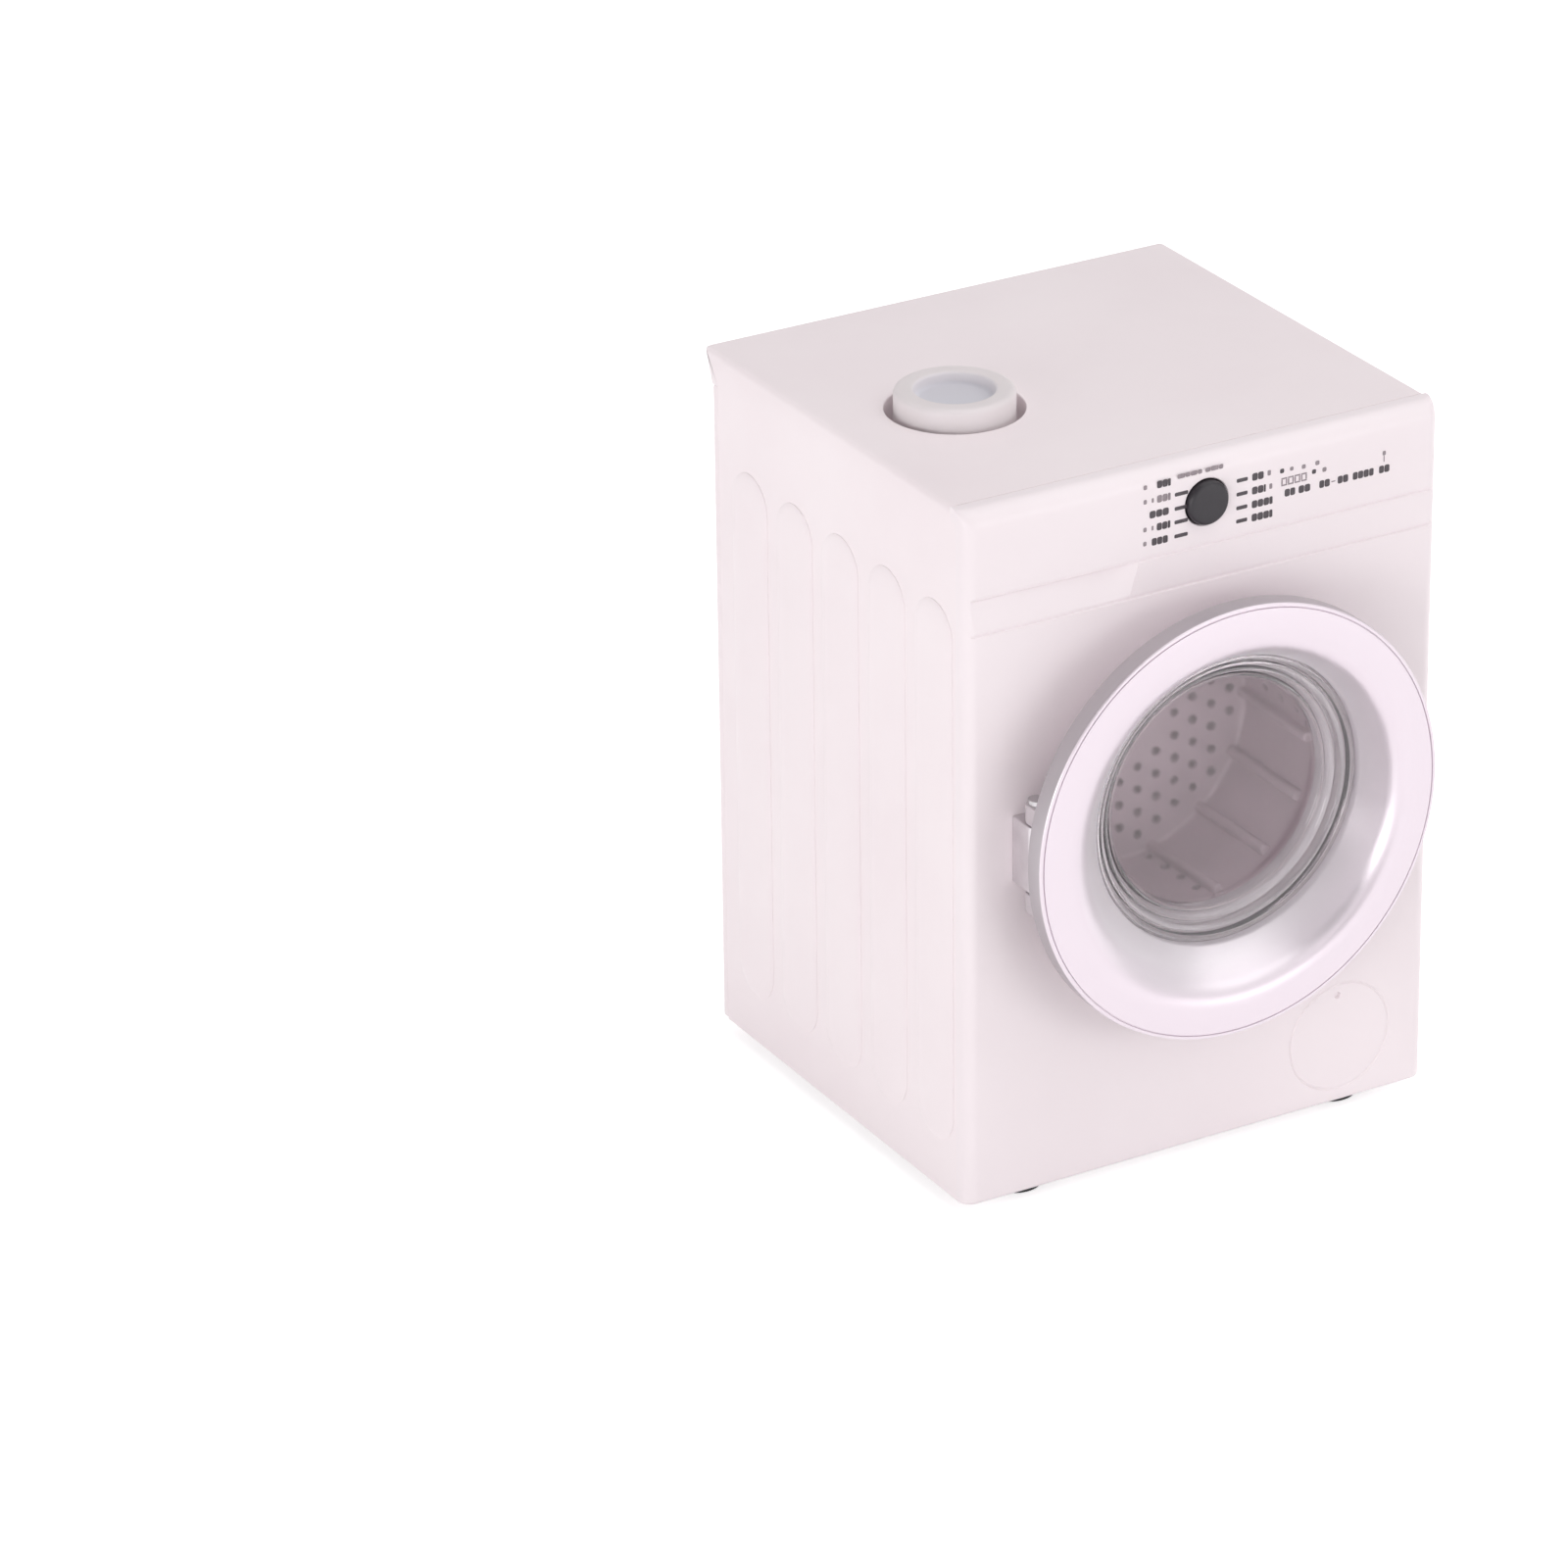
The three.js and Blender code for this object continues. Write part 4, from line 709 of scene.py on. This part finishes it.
def drum_rib(degrees):
    """A low rounded bar along the wall, from the floor to near the mouth."""
    turn = math.radians(degrees)
    start, end = drum_front + 2.8, drum_floor + 0.6
    foot, crest = drum_rib_foot, drum_rib_crest
    section = rounded([((foot, 0.72), 0), ((drum_inner, 0.66), 0.3), ((crest, 0.46), 0.4),
                       ((crest, -0.46), 0.4), ((drum_inner, -0.66), 0.3), ((foot, -0.72), 0)], 4)
    loops = []
    for y, inset in ((start, 0.35), (start + 0.1, 0.12), (start + 0.3, 0.0), (end, 0.0)):
        loop = []
        for out, side in section:
            out = min(foot, out + inset * (foot - out) / (foot - crest))
            side *= 1 - inset * 0.4
            loop.append((window_x + out * math.cos(turn) - side * math.sin(turn), y,
                         ring_z + out * math.sin(turn) + side * math.cos(turn)))
        loops.append(loop)
    return loft("rib_bar", loops, closed_around=False, caps=True)


def drum():
    """The shell with its ribs, a triangular pattern of holes in its back and four rows in its wall."""
    rows = [((0, drum_back), 0), ((drum_radius, drum_back), 0.5), ((drum_radius, drum_front), 0.2),
            ((14.9, drum_front), 0.2), ((14.9, drum_front + 1), 0.3), ((drum_inner, drum_front + 1.4), 0.2),
            ((drum_inner, drum_floor), 0.5), ((0, drum_floor), 0)]
    shell = turned_y("drum_fine", rows, window_x, ring_z, 128)
    ribs = [drum_rib(drum_rib_first + 360 / drum_rib_count * i) for i in range(drum_rib_count)]
    combine(shell, [merged("ribs", ribs)], "UNION")
    rods = []
    pitch = drum_hole_pitch
    step = pitch * math.sin(math.pi / 3)
    for column in range(-6, 7):
        for row in range(-7, 8):
            x = column * step
            z = row * pitch + (0 if column % 2 else pitch / 2)
            if drum_hole_field[0] < math.hypot(x, z) <= drum_hole_field[1]:
                rods.append(hole_rod(window_x + x, ring_z + z))
    for degrees in (10.5, 100.5, 190.5, 280.5):
        for row in range(4):
            rods.append(wall_rod(degrees, drum_floor - 1.3 - row * 3))
    combine(shell, [merged("rods", rods)])
    return dressed(shell, "drum", drum_metal, ["drum_shell"], 30)


def door_seal():
    rows = [((15, front_y + 3), 0.1), ((15, front_y + 1.0), 0.3), ((15.7, front_y + 0.6), 0.4),
            ((16.5, front_y + 1.0), 0.3), ((16.5, front_y + 2), 0.1), ((19.6, front_y + 2), 0),
            ((19.6, front_y + 3), 0)]
    seal = turned_y("door_gasket", rows, window_x, ring_z, 128)
    return dressed(seal, "cabinet", seal_soft, ["door_seal"], 40)


# Filler cap, button, feet

def filler_cap():
    """A round cap with a finger hole in its top and a hollow plug under it."""
    end = pocket_floor - 4.6
    rows = [((0, cap_top - 2.6), 0), ((2.55, cap_top - 2.6), 0.2), ((2.55, end), 0.1),
            ((3.55, end), 0.15), ((3.85, end + 0.6), 0.2), ((3.85, pocket_floor), 0),
            ((cap_radius, pocket_floor), 0.1),
            ((cap_radius, cap_top), 0.75), ((4.35, cap_top), 0.35), ((4.1, cap_top - 1.2), 0.5),
            ((0, cap_top - 1.2), 0)]
    cap = turned_z("filler_cap_fine", rows, filler_x, filler_y, 96, 6)
    return dressed(cap, "cap", cap_frosted, ["filler_cap"], 50)


def button():
    rows = [((0, away(0.8)), 0), ((button_radius, away(0.7)), 0.5), ((button_radius, front_y + 2.1), 0),
            ((3.15, front_y + 2.1), 0), ((3.15, front_y + 2.9), 0), ((0, front_y + 2.9), 0)]
    knob = turned_y("power_button_fine", rows, 0, button_z, 72, 6)
    return dressed(knob, "button", button_dark, ["power_button"], 50)


def feet():
    for index in range(4):
        low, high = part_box(f"foot_{index + 1}")
        x, y = (low.x + high.x) / 2 / MM, (low.y + high.y) / 2 / MM
        rows = [((0, 0), 0), ((foot_radius, 0), 0.35), ((foot_radius, bottom_z), 0.08),
                ((foot_peg_radius, bottom_z), 0), ((foot_peg_radius, foot_peg_top), 0.1),
                ((0, foot_peg_top), 0)]
        foot = turned_z(f"foot_pad_{index + 1}", rows, x, y, 48)
        dressed(foot, "cabinet", rubber, [f"foot_{index + 1}"], 40)


# Back cover and screws

def back_cover():
    """A flat cover with sunk screws, nine shallow lines and the charging inlet's slot."""
    plate = box_piece("back_plate", (-half_width, cover_y, bottom_z),
                      (half_width, back_y, overhang_z), 0.35)
    cuts = []
    recess = [((0, cover_y - 1), 0), ((0.8, cover_y - 1), 0), ((0.8, back_y - 0.8), 0),
              ((1.5, back_y - 0.8), 0), ((1.5, back_y - 0.15), 0), ((1.65, back_y + 0.01), 0),
              ((1.65, back_y + 1), 0), ((0, back_y + 1), 0)]
    for z in (bottom_z + 9, bottom_z + 72):
        for x in (-cover_screw_x, cover_screw_x):
            cuts.append(turned_y("recess", recess, x, z, 40))
    for z in [bottom_z + 28 + 2.4 * i for i in range(9)]:
        cuts.append(box_piece("line", (-16, back_y - 0.25, z - 0.35),
                              (16, back_y + 1, z + 0.35), 0.12, 2))
    low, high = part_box("charging_port")
    grown = 0.2
    x0, x1 = low.x / MM - grown, high.x / MM + grown
    z0, z1 = low.z / MM - grown, high.z / MM + grown
    points = rounded_rect(x0, x1, z0, z1, (z1 - z0) / 2 - 0.3, 6)
    cuts.append(loft("port_slot", [[(x, y, z) for x, z in points] for y in (cover_y - 1, back_y + 1)],
                     closed_around=False, caps=True))
    combine(plate, cuts)
    return dressed(plate, "cabinet", casing, ["back_cover"], 28)


def screw(name, node, axis, face, direction):
    """A pan head with a cross recess; face is the outer end of the head along its axis."""
    low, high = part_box(node)
    centre = [(low[i] + high[i]) / 2 / MM for i in range(3)]
    length = (high[axis] - low[axis]) / MM
    rows = [((0, 0), 0), ((1.4, 0), 0.3), ((1.4, 0.8), 0.05), ((0.7, 0.8), 0), ((0.7, length - 0.6), 0.1),
            ((0.2, length), 0), ((0, length), 0)]
    piece = turned_z(name, rows, 0, 0, 40)
    combine(piece, [box_piece("arm", (-a, -b, -1), (a, b, 0.62)) for a, b in ((0.85, 0.2), (0.2, 0.85))])
    if axis == 1:
        turn = Matrix.Rotation(math.pi / 2 if direction < 0 else -math.pi / 2, 4, "X")
        place = (centre[0], face, centre[2])
    else:
        turn = Matrix.Identity(4) if direction > 0 else Matrix.Rotation(math.pi, 4, "X")
        place = (centre[0], centre[1], face)
    piece.data.transform(Matrix.Translation(Vector(place) * MM) @ turn)
    return dressed(piece, "cabinet", steel, [node], 35)


# Printed legends: generic dots, bars and dashes only

def mark(x0, x1, drop, height):
    """A thin bar on the front face; drop is how far its middle lies under the top."""
    z0, z1 = top_z - (drop + height / 2), top_z - (drop - height / 2)
    points = rounded_rect(x0, x1, z0, z1, min(x1 - x0, z1 - z0) * 0.3, 3)
    return loft("mark", [[(x, y, z) for x, z in points] for y in (front_y - 0.001, front_y - 0.02)],
                closed_around=False, caps=True)


def legends():
    """Rows on both sides of the button, then dots, four small frames and a long row of dashes."""
    dark, faint = [], []
    rows = (1.64, 3.26, 4.85, 6.38, 7.96)
    starts = (-6.1, -6.1, -7.0, -6.1, -6.7)
    for i, drop in enumerate(rows):
        if i != 2:
            faint.append(mark(-7.75, -7.35, drop, 0.5))
        if i in (1, 3):
            faint.append(mark(-6.75, -6.5, drop, 0.5))
        x = starts[i]
        target = faint if i == 1 else dark
        while x < -4.7:
            width = 0.62 if i != 2 else 0.75
            target.append(mark(x, min(x + width, -4.45), drop, 0.82))
            x += width + 0.05
        if i > 0:
            dark.append(mark(-3.93, -2.3, drop, 0.42))
    x = -3.6
    for group in ((0.9, 0.55, 0.8, 0.5), (0.6, 0.9, 0.5)):
        for width in group:
            faint.append(mark(x, x + width, 1.3, 0.5))
            x += width + 0.08
        x += 0.35
    ends = (7.1, 7.3, 8.17, 8.17)
    for i, drop in enumerate((3.4, 4.95, 6.5, 8.0)):
        dark.append(mark(3.68, 5.04, drop, 0.42))
        x = 5.6
        while x < ends[i] - 0.2:
            dark.append(mark(x, min(x + 0.68, ends[i]), drop, 0.84))
            x += 0.73
    faint += [mark(7.5, 7.9, 3.35, 0.6), mark(7.75, 8.1, 4.9, 0.6)]
    dots = ((9.3, 3.5, 0.42, True), (10.5, 3.5, 0.36, False), (12.0, 3.6, 0.4, False),
            (13.7, 3.55, 0.42, False), (14.6, 4.5, 0.42, False), (13.3, 4.45, 0.42, True))
    for x, drop, size, heavy in dots:
        size *= 1.2
        (dark if heavy else faint).append(mark(x - size / 2, x + size / 2, drop, size))
    for i in range(4):
        x = 9.23 + i * 0.82
        faint += [mark(x, x + 0.72, 4.4, 0.16), mark(x, x + 0.72, 5.16, 0.16),
                  mark(x, x + 0.16, 4.78, 0.56), mark(x + 0.56, x + 0.72, 4.78, 0.56)]
    for x0, x1 in ((9.67, 10.3), (10.36, 10.97), (11.41, 12.1), (12.16, 12.85), (14.0, 14.6), (14.66, 15.3),
                   (16.3, 16.9), (16.96, 17.6), (18.2, 18.8), (18.86, 19.5), (19.56, 20.2), (20.26, 20.8),
                   (21.5, 22.1), (22.16, 22.8)):
        dark.append(mark(x0, x1, 6.1, 0.84))
    faint += [mark(15.5, 16.0, 6.1, 0.12), mark(21.9, 22.3, 4.3, 0.5),
              mark(22.04, 22.16, 4.95, 0.7)]
    dressed(merged("legend_marks", dark), "cabinet", ink)
    dressed(merged("legend_marks_faint", faint), "cabinet", ink_faint)


# Camera, light and floor

def camera():
    """Fitted to the cabinet's edges; offset is the aim point in the camera's own axes."""
    aim_point = Vector((0, 2.95, 1.5))
    turn, tilt, roll = math.radians(29.49), math.radians(25.43), math.radians(-0.78)
    back = Vector((-math.sin(turn) * math.cos(tilt), -math.cos(turn) * math.cos(tilt), math.sin(tilt)))
    right = Vector((math.cos(turn), -math.sin(turn), 0))
    up = back.cross(right)
    across = right * math.cos(roll) + up * math.sin(roll)
    upright = up * math.cos(roll) - right * math.sin(roll)
    offset = (31.636, -28.92, -824.846)
    place = -(across * offset[0] + upright * offset[1] + back * offset[2]) + aim_point
    data = bpy.data.cameras.new("view")
    data.lens = 171.04
    data.sensor_width = 36
    data.sensor_fit = "HORIZONTAL"
    data.clip_start = 0.05
    data.clip_end = 20
    eye = bpy.data.objects.new("view", data)
    facing_axes = Matrix((across, upright, back)).transposed().to_4x4()
    eye.matrix_world = Matrix.Translation(place * MM) @ facing_axes
    bpy.context.scene.collection.objects.link(eye)
    bpy.context.scene.camera = eye


def soft_lamp(name, place, size, watts):
    """A rectangular lamp that faces the middle of the machine; place and size are in metres."""
    data = bpy.data.lights.new(name, "AREA")
    data.shape = "RECTANGLE"
    data.size, data.size_y = size
    data.energy = watts
    lamp = bpy.data.objects.new(name, data)
    aim = Vector((0, 0, 0.04)) - Vector(place)
    turned = aim.to_track_quat("-Z", "Y").to_matrix().to_4x4()
    lamp.matrix_world = Matrix.Translation(Vector(place)) @ turned
    bpy.context.scene.collection.objects.link(lamp)


def maths(nodes, links, operation, first, second):
    """The result of a Math node; second is a socket or a number."""
    node = nodes.new("ShaderNodeMath")
    node.operation = operation
    links.new(first, node.inputs[0])
    if isinstance(second, float):
        node.inputs[1].default_value = second
    else:
        links.new(second, node.inputs[1])
    return node.outputs[0]


def ray_share(nodes, links, names):
    """1 for the named kinds of ray, 0 for all others."""
    path = nodes.new("ShaderNodeLightPath")
    share = path.outputs[names[0]]
    for name in names[1:]:
        share = maths(nodes, links, "MAXIMUM", share, path.outputs[name])
    return share


def facing(nodes, links, where, direction, low, high, near, far):
    """A value that changes from far to near as a direction turns towards the one named."""
    dot = nodes.new("ShaderNodeVectorMath")
    dot.operation = "DOT_PRODUCT"
    dot.inputs[1].default_value = Vector(direction).normalized()
    links.new(where, dot.inputs[0])
    return spread_value(nodes, links, dot.outputs["Value"], low, high, far, near, "SMOOTHSTEP")


def surroundings():
    """A room that is brighter on one side, with two dim patches; the camera sees plain white."""
    world = bpy.data.worlds.new("studio")
    bpy.context.scene.world = world
    world.use_nodes = True
    nodes, links = world.node_tree.nodes, world.node_tree.links
    base = nodes["Background"]
    where = nodes.new("ShaderNodeTexCoord").outputs["Generated"]
    strength = facing(nodes, links, where, (-1, -0.9, 0.05), -1, 1, 1.16, 0.62)
    for direction, low, high, dim in (((-0.69, -0.15, 0.70), 0.62, 0.92, 0.05),
                                      ((-0.14, -0.96, 0.15), 0.92, 0.98, 0.15)):
        patch = facing(nodes, links, where, direction, low, high, dim, 1.0)
        strength = maths(nodes, links, "MULTIPLY", strength, patch)
    base.inputs["Color"].default_value = (1.0, 0.985, 0.99, 1)
    links.new(strength, base.inputs["Strength"])
    plain = nodes.new("ShaderNodeBackground")
    plain.inputs["Color"].default_value = (1, 1, 1, 1)
    plain.inputs["Strength"].default_value = 1.0
    mix = nodes.new("ShaderNodeMixShader")
    links.new(ray_share(nodes, links, ("Is Camera Ray", "Is Transmission Ray")), mix.inputs["Fac"])
    links.new(base.outputs[0], mix.inputs[1])
    links.new(plain.outputs[0], mix.inputs[2])
    links.new(mix.outputs[0], nodes["World Output"].inputs["Surface"])


def ground():
    """A pale floor that is seen as white and still shows the machine's shadow."""
    mesh = bpy.data.meshes.new("floor")
    mesh.from_pydata([(-4, -4, 0), (4, -4, 0), (4, 4, 0), (-4, 4, 0)], [], [(0, 1, 2, 3)])
    floor = bpy.data.objects.new("floor", mesh)
    bpy.context.scene.collection.objects.link(floor)
    material, nodes, links, shader = new_material("floor_pale")
    shader.inputs["Base Color"].default_value = (0.86, 0.85, 0.855, 1)
    shader.inputs["Roughness"].default_value = 0.9
    shader.inputs["Specular IOR Level"].default_value = 0.1
    shader.inputs["Emission Color"].default_value = (1, 1, 1, 1)
    seen = ray_share(nodes, links, ("Is Camera Ray", "Is Transmission Ray", "Is Glossy Ray"))
    links.new(maths(nodes, links, "MULTIPLY", seen, 0.62), shader.inputs["Emission Strength"])
    mesh.materials.append(material)


bpy.context.scene.view_settings.view_transform = "Standard"
camera()
surroundings()
soft_lamp("key", (-0.90, -0.35, 0.12), (0.7, 0.5), 5.2)
soft_lamp("fill", (0.42, -0.90, 0.20), (0.6, 0.3), 1.2)
soft_lamp("top", (0.38, -0.05, 0.90), (1.0, 1.0), 3.2)
ground()
cabinet()
front_panel()
door_ring()
door_glass()
door_liner()
hinge_block()
drum()
door_seal()
filler_cap()
button()
feet()
back_cover()
for number in range(1, 5):
    screw(f"back_screw_fine_{number}", f"back_screw_{number}", 1, back_y, -1)
    screw(f"base_screw_fine_{number}", f"base_screw_{number}", 2, bottom_z, 1)
legends()
